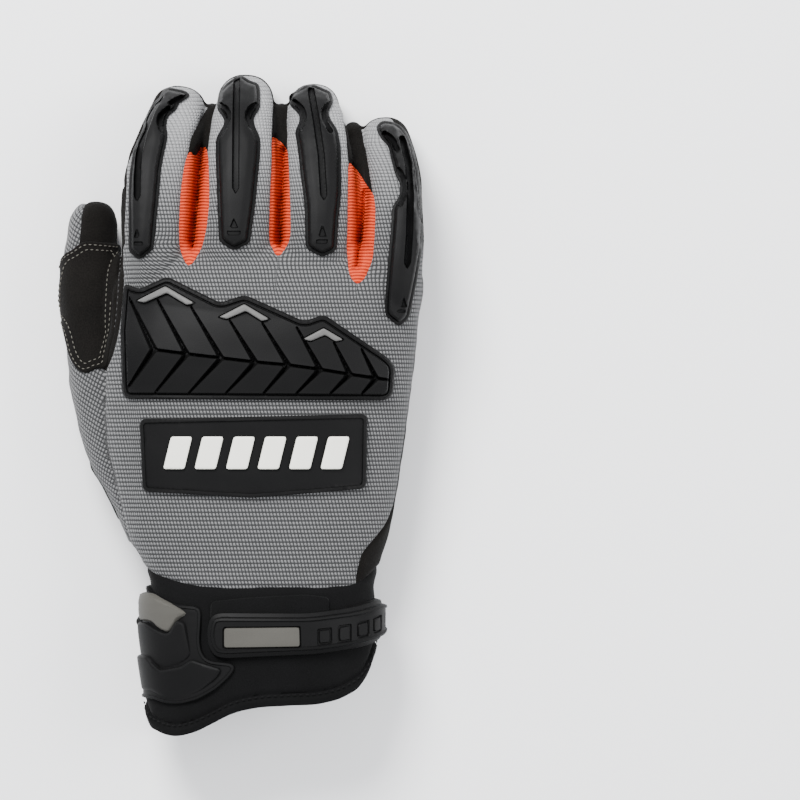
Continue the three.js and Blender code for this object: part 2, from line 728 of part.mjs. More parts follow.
// Suede over the thumb where the hand grips
const saddle = plate(onPalm(SADDLE_OUTLINE), SEAM_GAP, SEAM_GAP + SADDLE, thumbForm);
const saddleRegion = slab(PALM_FLOOR + SADDLE_LOW * PALM_DEPTH, TOP);
const handClear = joined([palmForm(SEAM_GAP), fingerForm(FINGERS.index, SEAM_GAP)]);
add("thumb_saddle_patch", saddle.intersect(saddleRegion).subtract(handClear), "suede");

// Cuff, its hem, and the strap round it
const cuffEnd = onCuff(CUFF_END);
const insideEnd = beyond(cuffEnd, [[FAR, FAR], [-FAR, FAR]]);
const hemTop = cuffEnd.map(([x, y]) => [x, y + HEM_WIDTH]);
const aboveHem = beyond(hemTop, [[FAR, FAR], [-FAR, FAR]]);
const belowCuff = beyond(
  hemTop.map(([x, y]) => [x, y + SEAM_GAP]),
  [[FAR, FAR], [-FAR, FAR]],
);
add("cuff", palmForm(0).subtract(palmForm(-WALL)).subtract(aboveCuff).intersect(belowCuff),
  "neoprene");
add("cuff_hem", palmForm(HEM_RISE).subtract(palmForm(-WALL)).intersect(insideEnd)
  .subtract(aboveHem), "neoprene");

const strapSides = [[STRAP_BACK, above], [STRAP_PALM, slab(-TOP, middle + STRAP_LAP)]];
const strapTier = (inset, high) => joined(strapSides.map(([outline, half]) => (
  plate(offset(onCuff(outline), -inset), SEAM_GAP, high).intersect(half)
)));
const plateSeat = plate(offset(onCuff(ID_PLATE), SEAM_GAP), STRAP - PLATE, STRAP + PLATE);
add("wrist_strap", strapTier(0, STRAP_FLANGE).add(strapTier(STRAP_BORDER, STRAP))
  .subtract(plateSeat.intersect(above)), "rubber");
add("id_plate", plate(onCuff(ID_PLATE), STRAP - PLATE + SEAM_GAP, STRAP).intersect(above),
  "pale_rubber");
add("loop_pad", plate(onCuff(LOOP_PAD_OUTLINE), SEAM_GAP, SEAM_GAP + LOOP_PAD)
  .intersect(below).subtract(plate(offset(onCuff(STRAP_PALM), SEAM_GAP), 0, STRAP + 1)),
"neoprene");

// Guard at the thumb side of the wrist, with shingled scales
const sideRegion = slab(CUFF_FLOOR + SIDE_GUARD_LOW * CUFF_DEPTH, TOP);
const sideTiers = SIDE_SCALES.map((outline) => (
  plate(onCuff(outline), SEAM_GAP, SEAM_GAP + SIDE_SCALE)
));
add("side_guard", joined([
  plate(onCuff(SIDE_OUTLINE), SEAM_GAP, SEAM_GAP + SIDE_FLANGE),
  ...sideTiers,
]).intersect(sideRegion), "rubber");
add("side_guard_scale", plate(onCuff(GREY_SCALE), 2 * SEAM_GAP + SIDE_FLANGE,
  SEAM_GAP + SIDE_SCALE).intersect(sideRegion), "pale_rubber");

// Knuckle guard: a flange, a raised body cut by herringbone grooves, three chevrons
const knuckleOutline = onPalm(KNUCKLE_OUTLINE);
const spine = onPalm(SPINE_LINE);
const grooves = joined([
  ribbon(spine, KNUCKLE_GROOVE),
  ...onPalm(UPPER_GROOVES).map((end, i) => ribbon([spine[i], end], KNUCKLE_GROOVE)),
  ...onPalm(LOWER_GROOVES).map((end, i) => ribbon([spine[i], end], KNUCKLE_GROOVE)),
  ...CHEVRONS.map((line) => ribbon(onPalm(line), CHEVRON_WIDTH + 2 * SEAM_GAP)),
]);
const knuckleBody = plate(offset(knuckleOutline, -GUARD_BORDER), SEAM_GAP, KNUCKLE_GUARD);
add("knuckle_guard", plate(knuckleOutline, SEAM_GAP, SEAM_GAP + FLANGE)
  .add(knuckleBody.subtract(grooves.subtract(palmForm(SEAM_GAP + FLANGE))))
  .intersect(above), "rubber");
CHEVRONS.forEach((line, i) => {
  const chevron = ribbon(onPalm(line), CHEVRON_WIDTH)
    .intersect(palmForm(KNUCKLE_GUARD + CHEVRON_PROUD))
    .subtract(palmForm(2 * SEAM_GAP + FLANGE));
  add(`chevron_${i + 1}`, chevron.intersect(above), "pale_rubber");
});

// Guards on the backs of the fingers
const aboveTips = slab(GUARD_TIP_HEIGHT, TOP);
for (const [name, guard] of Object.entries(FINGER_GUARDS)) {
  const finger = FINGERS[name];
  const outline = onFinger(finger, guard.outline);
  const overPalm = guard.outline.some(([, along]) => along < 0);
  const form = (grow) => (overPalm
    ? fingerForm(finger, grow).add(palmForm(grow))
    : fingerForm(finger, grow));
  const groove = ribbon(onFinger(finger, guard.groove), GUARD_GROOVE_SHARE * finger.width);
  const [markX, markY] = onFinger(finger, [guard.arrow])[0];
  const arrow = prism([
    [markX, markY + ARROW_LENGTH / 2],
    [markX - ARROW_WIDTH / 2, markY - ARROW_LENGTH / 2],
    [markX + ARROW_WIDTH / 2, markY - ARROW_LENGTH / 2],
  ]);
  const cut = groove.add(arrow).subtract(form(SEAM_GAP + FLANGE));
  const body = plate(offset(outline, -GUARD_BORDER), SEAM_GAP, FINGER_GUARD, form).subtract(cut);
  add(`${name}_guard`, plate(outline, SEAM_GAP, SEAM_GAP + FLANGE, form).add(body)
    .intersect(backHalf(0)).intersect(aboveTips), "rubber");
}

// Badge plate with a raised frame and plain slanted bars
const badge = onPalm(BADGE_OUTLINE);
const badgeFloor = BADGE - BADGE_RECESS;
add("badge_plate", plate(badge, SEAM_GAP, BADGE)
  .subtract(plate(offset(badge, -BADGE_FRAME), badgeFloor, BADGE + 1))
  .intersect(above), "rubber");
const barLow = BAR_LOW * PALM_LENGTH;
const barHigh = BAR_TOP * PALM_LENGTH;
for (let i = 0; i < BAR_COUNT; i += 1) {
  const x = (BAR_LEFT + i * BAR_STEP) * PALM_WIDTH;
  const end = x + BAR_SHARE * BAR_STEP * PALM_WIDTH;
  const bar = [[x, barLow], [end, barLow], [end + BAR_LEAN, barHigh], [x + BAR_LEAN, barHigh]];
  add(`badge_bar_${i + 1}`, plate(bar, badgeFloor + SEAM_GAP, badgeFloor + SEAM_GAP + BAR_HEIGHT)
    .intersect(above), "white_rubber");
}

// Grip patches and the patch on the heel of the thumb, on the palm
const palmPatch = (outline, form) => plate(onPalm(outline), SEAM_GAP, PALM_FLOOR, form)
  .intersect(slab(0, middle));
add("palm_grip_patch_upper", palmPatch(UPPER_PATCH_OUTLINE, palmForm)
  .subtract(handForm(SEAM_GAP)), "grip");
add("palm_grip_patch_lower", palmPatch(LOWER_PATCH_OUTLINE, palmForm), "grip");
const belowHeelTop = slab(-TOP, PALM_FLOOR + HEEL_PATCH_TOP * PALM_DEPTH);
add("thumb_heel_patch", palmPatch(HEEL_PATCH_OUTLINE, (grow) => palmForm(grow)
  .add(thumbForm(grow))).intersect(belowHeelTop), "suede");

// Bare tag sewn in the side seam below the little finger
const tagY = TAG_MIDDLE * PALM_LENGTH;
const tagTop = PALM_FLOOR + TAG_TOP * PALM_DEPTH;
const tagOuter = palmForm(SEAM_GAP + TAG).subtract(palmForm(SEAM_GAP));
const tagBlock = prism([[0, tagY - TAG_LENGTH / 2], [FAR, tagY - TAG_LENGTH / 2],
  [FAR, tagY + TAG_LENGTH / 2], [0, tagY + TAG_LENGTH / 2]], tagTop - TAG_WIDTH, tagTop);
add("side_tag", tagOuter.intersect(tagBlock), "suede");

// Leaves out the slivers that a cut can shave off a solid: bodies under SLIVER mm3
function wholeBodies({ vertProperties, triVerts }) {
  const owner = Array.from({ length: vertProperties.length / 3 }, (_, i) => i);
  const find = (i) => {
    let root = i;
    while (owner[root] !== root) root = owner[root];
    owner[i] = root;
    return root;
  };
  const corner = (i) => new THREE.Vector3().fromArray(vertProperties, 3 * i);
  for (let i = 0; i < triVerts.length; i += 3) {
    owner[find(triVerts[i + 1])] = find(triVerts[i]);
    owner[find(triVerts[i + 2])] = find(triVerts[i]);
  }
  const volumes = new Map();
  for (let i = 0; i < triVerts.length; i += 3) {
    const [a, b, c] = [0, 1, 2].map((k) => corner(triVerts[i + k]));
    const body = find(triVerts[i]);
    volumes.set(body, (volumes.get(body) ?? 0) + a.dot(b.cross(c)) / 6);
  }
  return triVerts.filter((_, i) => volumes.get(find(triVerts[i - (i % 3)])) > SLIVER);
}

// Puts a finished solid in the scene as a mesh in its own material
function meshOf({ name, solid, finish }) {
  const mesh3 = solid.getMesh();
  const { vertProperties } = mesh3;
  const triVerts = wholeBodies(mesh3);
  const geometry = new THREE.BufferGeometry();
  geometry.setAttribute("position", new THREE.BufferAttribute(vertProperties, 3));
  geometry.setIndex(new THREE.BufferAttribute(triVerts, 1));
  const mesh = new THREE.Mesh(geometry, new THREE.MeshStandardMaterial(FINISHES[finish]));
  mesh.name = name;
  return mesh;
}

const group = new THREE.Group();
parts.forEach((part) => group.add(meshOf(part)));

// The origin goes to the middle of the glove's box, on the surface that it lies on
const box = new THREE.Box3().setFromObject(group);
group.position.set(-(box.min.x + box.max.x) / 2, -(box.min.y + box.max.y) / 2, -box.min.z);
group.updateMatrixWorld(true);

export default group;
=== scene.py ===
# %% [markdown]
# # A mechanic glove, dressed over its CAD frame
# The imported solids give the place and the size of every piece. Here each one gets the
# form and finish of the real thing: stretched knit, suede, ribbed stretch cloth, moulded
# rubber and thread. Lengths are in millimetres until a mesh is made, then in metres.

# %% Load the frame
import math

import bpy
import numpy as np
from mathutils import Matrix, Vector, noise
from mathutils.bvhtree import BVHTree
from mathutils.kdtree import KDTree


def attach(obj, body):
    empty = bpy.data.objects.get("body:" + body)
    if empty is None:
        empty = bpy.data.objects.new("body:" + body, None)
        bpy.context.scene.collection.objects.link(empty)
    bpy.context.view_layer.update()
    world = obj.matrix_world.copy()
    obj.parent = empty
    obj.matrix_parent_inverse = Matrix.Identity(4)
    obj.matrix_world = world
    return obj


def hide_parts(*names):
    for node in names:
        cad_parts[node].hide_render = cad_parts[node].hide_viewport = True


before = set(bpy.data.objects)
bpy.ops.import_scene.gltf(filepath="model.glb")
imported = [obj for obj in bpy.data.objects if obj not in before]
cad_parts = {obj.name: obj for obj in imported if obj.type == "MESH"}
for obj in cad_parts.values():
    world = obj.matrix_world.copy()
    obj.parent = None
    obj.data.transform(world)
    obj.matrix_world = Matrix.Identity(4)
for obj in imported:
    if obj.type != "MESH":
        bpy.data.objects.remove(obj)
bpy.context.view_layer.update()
scene = bpy.context.scene
MM = 0.001
print("CAD nodes:", len(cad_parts))

# %% [markdown]
# ## Camera, floor and light
# The glove lies palm down and is seen from straight above, through a long lens so that
# the fingers do not lean outwards. A broad light from beyond the fingertips models the
# rubber guards, and a pale world fills the shadows, as a light tent does.

# %% Camera
VIEW_MIDDLE = (0.0600, 0.0014)
VIEW_WIDTH = 0.3024
SUBJECT_HEIGHT = 0.035
LENS = 250
camera_data = bpy.data.cameras.new("camera")
camera_data.lens = LENS
camera_data.clip_start = 0.01
camera = bpy.data.objects.new("camera", camera_data)
scene.collection.objects.link(camera)
camera_height = VIEW_WIDTH * LENS / camera_data.sensor_width + SUBJECT_HEIGHT
camera.location = (*VIEW_MIDDLE, camera_height)
scene.camera = camera
print("camera height", round(camera_height, 3), "m")

# %% Lights
GLOVE_MIDDLE_HEIGHT = 0.03


def area_light(name, place, size, power):
    """A soft box at a place, aimed at the middle of the glove."""
    data = bpy.data.lights.new(name, "AREA")
    data.shape = "DISK"
    data.size = size
    data.energy = power
    lamp = bpy.data.objects.new(name, data)
    scene.collection.objects.link(lamp)
    lamp.location = place
    aim = Vector((0, 0, GLOVE_MIDDLE_HEIGHT)) - Vector(place)
    lamp.rotation_euler = aim.to_track_quat("-Z", "Y").to_euler()


area_light("key", (-0.3, 0.7, 0.9), 0.5, 30)
area_light("side", (0.8, 0.1, 0.7), 0.6, 8)
area_light("low", (-0.2, -0.9, 0.5), 0.8, 4)
world = bpy.data.worlds.new("tent")
world.use_nodes = True
backdrop = world.node_tree.nodes["Background"].inputs
backdrop["Color"].default_value = (0.93, 0.95, 1.0, 1)
backdrop["Strength"].default_value = 1.2
scene.world = world
print("lights:", len(bpy.data.lights))

# %% [markdown]
# ## Finishes
# Every finish is a small node tree. Cloths follow the piece's own UV map, which is kept
# in millimetres of cloth, so a stitch of knit is as large as the real one; the rest read
# Object coordinates in metres.

# %% Node helper


class Finish:
    """A material whose nodes are added one by one."""

    def __init__(self, name, colour, roughness, **sockets):
        self.material = bpy.data.materials.new(name)
        self.material.use_nodes = True
        self.tree = self.material.node_tree
        self.shader = self.tree.nodes["Principled BSDF"]
        self.shader.inputs["Base Color"].default_value = (*colour, 1)
        self.shader.inputs["Roughness"].default_value = roughness
        for socket, value in sockets.items():
            self.shader.inputs[socket.replace("_", " ")].default_value = value
        self.material.diffuse_color = (*colour, 1)

    def add(self, kind, links=None, values=None, **settings):
        node = self.tree.nodes.new(kind)
        for key, value in settings.items():
            setattr(node, key, value)
        for key, value in (values or {}).items():
            node.inputs[key].default_value = value
        for key, source in (links or {}).items():
            self.tree.links.new(source, node.inputs[key])
        return node

    def math(self, operation, first, second=None):
        node = self.add("ShaderNodeMath", operation=operation)
        for place, value in enumerate((first, second)):
            if value is None:
                continue
            if isinstance(value, (int, float)):
                node.inputs[place].default_value = value
            else:
                self.tree.links.new(value, node.inputs[place])
        return node.outputs[0]

    def blend(self, factor, dark, light):
        node = self.add("ShaderNodeMix", data_type="RGBA")
        node.inputs["A"].default_value = (*dark, 1)
        node.inputs["B"].default_value = (*light, 1)
        self.tree.links.new(factor, node.inputs["Factor"])
        return node.outputs["Result"]

    def place(self):
        return self.add("ShaderNodeTexCoord").outputs["Object"]

    def grain(self, scale, detail=3.0):
        return self.add("ShaderNodeTexNoise", {"Vector": self.place()},
                        {"Scale": scale, "Detail": detail}).outputs[0]

    def bump(self, height, depth):
        return self.add("ShaderNodeBump", {"Height": height}, {"Distance": depth * MM}).outputs[0]

    def set(self, socket, source):
        self.tree.links.new(source, self.shader.inputs[socket])

    def between(self, source, low, high):
        """The source's 0 to 1 turned into low to high."""
        return self.add("ShaderNodeMapRange", {"Value": source},
                        {"To Min": low, "To Max": high}).outputs[0]

    def share(self, source, low, high, way="LINEAR"):
        """The source's low to high turned into 0 to 1."""
        return self.add("ShaderNodeMapRange", {"Value": source}, {"From Min": low, "From Max": high},
                        interpolation_type=way).outputs[0]

    def plus(self, source, other, amount):
        """The source and an amount of the other."""
        return self.math("ADD", source, self.math("MULTIPLY", other, amount))

    def wave(self, length, pitch):
        """A cosine that turns once in every pitch."""
        return self.math("COSINE", self.math("MULTIPLY", length, 2 * math.pi / pitch))

    def crests(self, length, pitch):
        """The same cosine, from 0 to 1."""
        return self.math("ADD", self.math("MULTIPLY", self.wave(length, pitch), 0.5), 0.5)


# %% [markdown]
# The knit on the back of the hand is a pique: rows of raised light stitches. Its colour
# follows the raised spots, so the hollows between them are darkened as painted shade. Two
# cosines, one across and one along the cloth, make the raised spots; the rows lean a little
# because the yarn does. Towards the fingertips the colour is painted paler: a painted
# highlight where the fingertips catch the light.

# %% Knit
STITCH_ACROSS = 1.27
STITCH_ALONG = 1.60
STITCH_LEAN = 0.28
SPOT_POWER = 0.75
# from y 55 to 115 mm, towards the fingertips, the knit is painted paler: a painted highlight
TIP_HIGHLIGHT_START, TIP_HIGHLIGHT_END, TIP_HIGHLIGHT_COVER = 0.055, 0.115, 0.3


def cloth_axes(finish):
    """The two directions of the cloth, from the UV map in millimetres."""
    uv = finish.add("ShaderNodeUVMap", uv_map="cloth").outputs[0]
    split = finish.add("ShaderNodeSeparateXYZ", {"Vector": uv})
    return split.outputs["X"], split.outputs["Y"]


def knit_finish(name, dark, light, tip_highlight):
    finish = Finish(name, light, 0.88, Specular_IOR_Level=0.12, Sheen_Weight=0.12,
                    Sheen_Roughness=0.4)
    across, along = cloth_axes(finish)
    row = finish.math("DIVIDE", along, STITCH_ALONG)
    column = finish.plus(finish.math("DIVIDE", across, STITCH_ACROSS), row, STITCH_LEAN)
    spots = [finish.math("POWER", finish.crests(value, 1), SPOT_POWER) for value in (column, row)]
    yarn = finish.grain(2600, 2.0)
    # the stitch relief sets the colour as well as the bump: painted shade between the stitches
    stitch_relief_and_shade = finish.plus(finish.math("MULTIPLY", *spots), finish.math("SUBTRACT", yarn, 0.5), 0.45)
    reach = finish.add("ShaderNodeSeparateXYZ", {"Vector": finish.place()}).outputs["Y"]
    # towards the fingertips the tone lifts and the yarn colour turns paler: a painted highlight
    pull = finish.share(reach, TIP_HIGHLIGHT_START, TIP_HIGHLIGHT_END, "SMOOTHSTEP")
    tone = finish.share(finish.plus(stitch_relief_and_shade, pull, TIP_HIGHLIGHT_COVER), 0.04, 0.62, "SMOOTHSTEP")
    yarn_and_tip_highlight = finish.blend(pull, light, tip_highlight)
    mix = finish.add("ShaderNodeMix", {"Factor": tone, "B": yarn_and_tip_highlight}, data_type="RGBA")
    mix.inputs["A"].default_value = (*dark, 1)
    finish.set("Base Color", mix.outputs["Result"])
    finish.set("Roughness", finish.between(yarn, 0.8, 0.95))
    finish.set("Normal", finish.bump(stitch_relief_and_shade, 0.42))
    return finish.material


# the first colour is the painted shade between stitches, the third the painted highlight of the fingertips
KNIT = knit_finish("grey_knit", (0.026, 0.0265, 0.027), (0.152, 0.152, 0.153), (0.27, 0.27, 0.273))

# %% [markdown]
# The stretch cloth between the fingers is ribbed: soft rolls that run across the strip. Its
# colour follows the rolls, bright on their crests and deep red-orange in the grooves, as
# painted shade in the grooves.

# %% Ribbed stretch cloth
RIB_PITCH = 1.22


def rib_finish(name, dark, light):
    finish = Finish(name, light, 0.75, Specular_IOR_Level=0.12)
    _, along = cloth_axes(finish)
    # the rolls set the colour as well as the bump: painted shade in the grooves
    roll = finish.math("POWER", finish.crests(along, RIB_PITCH), 0.6)
    thread = finish.grain(3200, 2.0)
    tone = finish.plus(roll, finish.math("SUBTRACT", thread, 0.5), 0.5)
    finish.set("Base Color", finish.blend(tone, dark, light))
    finish.set("Roughness", finish.between(thread, 0.6, 0.8))
    finish.set("Normal", finish.bump(roll, 0.42))
    return finish.material


# the first colour is the painted shade of the grooves
RIB = rib_finish("orange_rib", (0.22, 0.012, 0.004), (0.62, 0.058, 0.016))

# %% [markdown]
# Suede is a black nap: no gloss, a fine fuzz and faint cloudy brushing. The stretch cloth
# of the cuff is smoother and finer, with a slight sheen.

# %% Suede and stretch cloth


def nap_finish(name, colour, lift, fuzz, depth, roughness):
    finish = Finish(name, colour, roughness, Specular_IOR_Level=0.06, Sheen_Weight=0.015,
                    Sheen_Roughness=0.5)
    fine = finish.grain(fuzz, 4.0)
    cloud = finish.grain(70, 3.0)
    tone = finish.plus(finish.math("MULTIPLY", fine, 0.6), cloud, 0.4)
    finish.set("Base Color", finish.blend(finish.share(tone, 0.3, 0.7), colour, lift))
    finish.set("Roughness", finish.between(cloud, roughness - 0.08, min(1.0, roughness + 0.05)))
    finish.set("Normal", finish.bump(fine, depth))
    return finish.material


SUEDE = nap_finish("black_suede", (0.002, 0.0018, 0.0016), (0.0072, 0.0064, 0.0056), 1900, 0.2, 0.93)
STRETCH = nap_finish("black_stretch", (0.0014, 0.0014, 0.0014), (0.0038, 0.0038, 0.004), 2600, 0.1, 0.85)

# %% [markdown]
# The guards are moulded thermoplastic rubber, satin with a fine sand texture from the
# mould. Edges are painted a little paler where the pointiness of the surface marks them: a
# painted highlight on the edges that catch the light. A slow noise keeps the satin from
# being even and pales its colour at random.

# %% Moulded rubber


def rubber_finish(name, colour, haze_and_edge_highlight, roughness, shine=0.3):
    finish = Finish(name, colour, roughness, Specular_IOR_Level=shine)
    haze = finish.grain(55, 4.0)
    edge = finish.add("ShaderNodeNewGeometry").outputs["Pointiness"]
    # pointy edges are painted paler as a painted highlight; the haze pales the colour at random
    tone = finish.plus(finish.math("MULTIPLY", haze, 0.45), finish.share(edge, 0.5, 0.62), 0.35)
    finish.set("Base Color", finish.blend(tone, colour, haze_and_edge_highlight))
    finish.set("Roughness", finish.between(haze, roughness - 0.06, roughness + 0.1))
    finish.set("Normal", finish.bump(finish.grain(3500, 2.0), 0.03))
    return finish.material


# the second colour is reached by the random haze and by the painted edge highlight
RUBBER = rubber_finish("black_rubber", (0.0028, 0.0028, 0.0029), (0.007, 0.0068, 0.0068), 0.5, 0.08)
PALE_RUBBER = rubber_finish("grey_rubber", (0.05, 0.048, 0.042), (0.085, 0.082, 0.073), 0.5, 0.12)
CHEVRON_RUBBER = rubber_finish("chevron_rubber", (0.075, 0.074, 0.072), (0.13, 0.128, 0.123), 0.45, 0.15)
WHITE_RUBBER = rubber_finish("white_rubber", (0.76, 0.75, 0.67), (0.86, 0.85, 0.78), 0.42)

# %% [markdown]
# The grip patches are suede printed with glossy wavy lines. The print is a band of a
# sine that bends along the patch; where it lies the surface is smooth and shiny.

# %% Printed grip
WAVE_PITCH = 4.6
WAVE_BEND, WAVE_TURN = 1.9, 0.42


def grip_finish(name):
    finish = Finish(name, (0.006, 0.0055, 0.005), 0.9, Specular_IOR_Level=0.25)
    fine = finish.grain(1900, 4.0)
    across, along = cloth_axes(finish)
    bend = finish.math("SINE", finish.math("MULTIPLY", across, WAVE_TURN))
    path = finish.plus(along, bend, WAVE_BEND)
    ink = finish.share(finish.wave(path, WAVE_PITCH), 0.55, 0.72)
    finish.set("Base Color", finish.blend(finish.math("MULTIPLY", ink, 0.8),
                                          (0.0045, 0.004, 0.0036), (0.005, 0.005, 0.0053)))
    finish.set("Roughness", finish.between(ink, 0.93, 0.3))
    finish.set("Normal", finish.bump(finish.plus(ink, fine, 0.35), 0.2))
    return finish.material


GRIP = grip_finish("printed_grip")

# %% [markdown]
# Thread is a matt twisted yarn: a fine noise bumps it and darkens its colour where the bump
# is low, painted shade between its strands.

# %% Thread


def thread_finish(name, colour):
    finish = Finish(name, colour, 0.7, Specular_IOR_Level=0.12)
    twist = finish.grain(4200, 2.0)
    # the colour darkens with the bump: painted shade between the strands
    strand_shade_colour = tuple(0.6 * c for c in colour)
    finish.set("Base Color", finish.blend(finish.between(twist, 0.3, 1.0), strand_shade_colour, colour))
    finish.set("Normal", finish.bump(twist, 0.08))
    return finish.material


ORANGE_THREAD = thread_finish("orange_thread", (0.75, 0.24, 0.045))
PALE_THREAD = thread_finish("pale_thread", (0.095, 0.09, 0.077))
BLACK_THREAD = thread_finish("black_thread", (0.0022, 0.0022, 0.0024))
GREY_THREAD = thread_finish("grey_thread", (0.06, 0.06, 0.06))
print("finishes:", len(bpy.data.materials))

# %% Floor
floor_mesh = bpy.data.meshes.new("floor")
floor_mesh.from_pydata([(-3, -3, 0), (3, -3, 0), (3, 3, 0), (-3, 3, 0)], [], [(0, 1, 2, 3)])
floor = bpy.data.objects.new("floor", floor_mesh)
scene.collection.objects.link(floor)
floor_finish = Finish("pale_floor", (0.97, 0.97, 0.97), 0.7)
floor_finish.set("Base Color", floor_finish.blend(floor_finish.grain(3, 2.0),
                                                  (0.92, 0.92, 0.92), (0.95, 0.95, 0.95)))
floor_finish.set("Normal", floor_finish.bump(floor_finish.grain(60, 2.0), 0.02))
floor_mesh.materials.append(floor_finish.material)

# %% [markdown]
# ## The hand as one smooth form
# On the real glove flat panels are sewn into a hollow hand. The quickest true way back to
# that is to loft the hand, the fingers and the thumb through their cross-sections, melt
# them into one skin with a voxel remesh, and then cut the skin along the seams. The
# tables follow the sections of the CAD source, in millimetres, but the thumb side of the
# cuff lies about a millimetre further in.

# %% Sections of the hand
PALM_WIDTH = 118.0
PALM_LENGTH = 122.0
PALM_DEPTH = 50.0
PALM_FLOOR = 1.6
KNUCKLE_HEIGHT = 32.0
FINGER_DEPTH = 28.0
TIP_CAP = 10.0
SHIFT = np.array([0.639, -0.112, 0.0])

# y, left, right, base, top and squareness, from the open end to the knuckles
PALM_ROWS = np.array([
    [-148.3, -37.1, 49.1, 5.9, 50.0, 2.3],
    [-108.3, -37.1, 50.2, 5.0, 50.9, 2.3],
    [-75.8, -36.6, 50.0, 5.0, 50.5, 2.3],
    [-68.3, -35.6, 50.2, 4.1, 49.6, 2.4],
    [-46.4, -45.4, 55.7, 1.0, 50.6, 2.5],
    [-24.4, -51.0, 59.4, 0.6, 51.6, 2.5],
    [12.8, -52.6, 64.5, 2.1, 53.1, 2.5],
    [31.7, -49.1, 66.4, 5.6, 52.6, 2.5],
    [52.5, -45.4, 66.7, 13.6, 46.6, 2.4],
    [60.0, -40.0, 61.0, 22.0, 40.0, 2.3],
])

FINGER_AT = [-0.4, 0.0, 0.25, 0.5, 0.68, 0.85]
FINGER_DROP = [0.75, 1.0, 0.97, 0.79, 0.52, 0.0]
FINGER_THICK = [0.38, 0.5, 0.49, 0.46, 0.44, 0.39]
FINGERS = {
    "index": dict(knuckle=0.442, length=67.0, width=28.0,
                  centre=[-0.263, -0.284, -0.278, -0.265, -0.237, -0.214],
                  half=[0.44, 0.46, 0.488, 0.5, 0.464, 0.405]),
    "middle": dict(knuckle=0.452, length=70.5, width=31.5,
                   centre=[-0.029, -0.029, -0.019, -0.007, -0.003, 0.003],
                   half=[0.476, 0.5, 0.49, 0.451, 0.41, 0.355]),
    "ring": dict(knuckle=0.421, length=71.0, width=29.0,
                 centre=[0.229, 0.239, 0.247, 0.242, 0.237, 0.226],
                 half=[0.483, 0.49, 0.5, 0.486, 0.436, 0.365]),
    "little": dict(knuckle=0.375, length=62.5, width=24.5,
                   centre=[0.449, 0.473, 0.481, 0.481, 0.473, 0.455],
                   half=[0.469, 0.5, 0.492, 0.476, 0.471, 0.42]),
}

# back from the tip as a share of the length, centre, height, half width, half depth
THUMB_TIP_Y = 78.2
THUMB_LENGTH = 110.0
THUMB_ROWS = np.array([
    [1.16, -0.27, 0.45, 12.2, 12.9],
    [1.0, -0.33, 0.44, 12.9, 12.9],
    [0.84, -0.405, 0.42, 12.7, 12.4],
    [0.5, -0.481, 0.35, 11.2, 11.5],
    [0.2, -0.495, 0.27, 10.5, 10.6],
    [0.1, -0.492, 0.245, 9.2, 9.2],
])

# %% Smooth reading of a table


def smooth_read(stations, values, where):
    """Cubic reading of values kept at rising stations, flat beyond the ends."""
    x = np.asarray(stations, float)
    y = np.asarray(values, float)
    step = np.diff(x)
    rise = np.diff(y) / step
    slope = np.empty_like(y)
    slope[0], slope[-1] = rise[0], rise[-1]
    slope[1:-1] = (rise[:-1] * step[1:] + rise[1:] * step[:-1]) / (step[1:] + step[:-1])
    at = np.clip(np.asarray(where, float), x[0], x[-1])
    i = np.clip(np.searchsorted(x, at) - 1, 0, len(step) - 1)
    t = (at - x[i]) / step[i]
    return ((2 * t**3 - 3 * t**2 + 1) * y[i] + (t**3 - 2 * t**2 + t) * step[i] * slope[i]
            + (3 * t**2 - 2 * t**3) * y[i + 1] + (t**3 - t**2) * step[i] * slope[i + 1])


def oval(half_wide, half_deep, power, sides):
    """A closed oval, squarer than an ellipse as power grows."""
    turn = np.linspace(0, 2 * math.pi, sides, endpoint=False)
    cos, sin = np.cos(turn), np.sin(turn)
    share = 2 / power
    return (half_wide * np.sign(cos) * np.abs(cos) ** share,
            half_deep * np.sign(sin) * np.abs(sin) ** share)


def tube(rings):
    """Rings of equal length joined into a closed tube: points and triangles."""
    rings = np.array(rings)
    count = rings.shape[1]
    points = rings.reshape(-1, 3)
    rows, sides = np.meshgrid(np.arange(len(rings) - 1), np.arange(count), indexing="ij")
    a = (rows * count + sides).ravel()
    b = (rows * count + (sides + 1) % count).ravel()
    faces = [np.stack([a, b, b + count], 1), np.stack([a, b + count, a + count], 1)]
    for row, flip in ((0, True), (len(rings) - 1, False)):
        hub = len(points)
        points = np.vstack([points, rings[row].mean(0)])
        a = row * count + np.arange(count)
        b = row * count + (np.arange(count) + 1) % count
        fan = (b, a) if flip else (a, b)
        faces.append(np.stack([*fan, np.full(count, hub)], 1))
    return points, np.vstack(faces)


# %% Lofts
GAP_TRIM = 0.45
TUBE_SIDES, TUBE_POWER = 56, 2.3
WEB_X, WEB_MIDDLE, WEB_REACH = -46.5, 33, 24.0
PRESSED_DROP, PRESSED_SPARE, PRESSED_DEEP = 6.0, 2.6, 6.5


def palm_section(y):
    """Left, right, base, top and squareness of the palm's section at y."""
    return [smooth_read(PALM_ROWS[:, 0], PALM_ROWS[:, k], y) for k in range(1, 6)]


def palm_tube():
    rings = []
    for y in np.concatenate([np.linspace(-148.3, 56, 120), [58, 60]]):
        left, right, base, top, power = palm_section(y)
        x, z = oval((right - left) / 2, (top - base) / 2, power, 120)
        z = np.maximum(z + (top + base) / 2, PALM_FLOOR if y > -72 else -9)
        rings.append(np.stack([x + (left + right) / 2, np.full_like(x, y), z], 1) + SHIFT)
    return tube(rings)


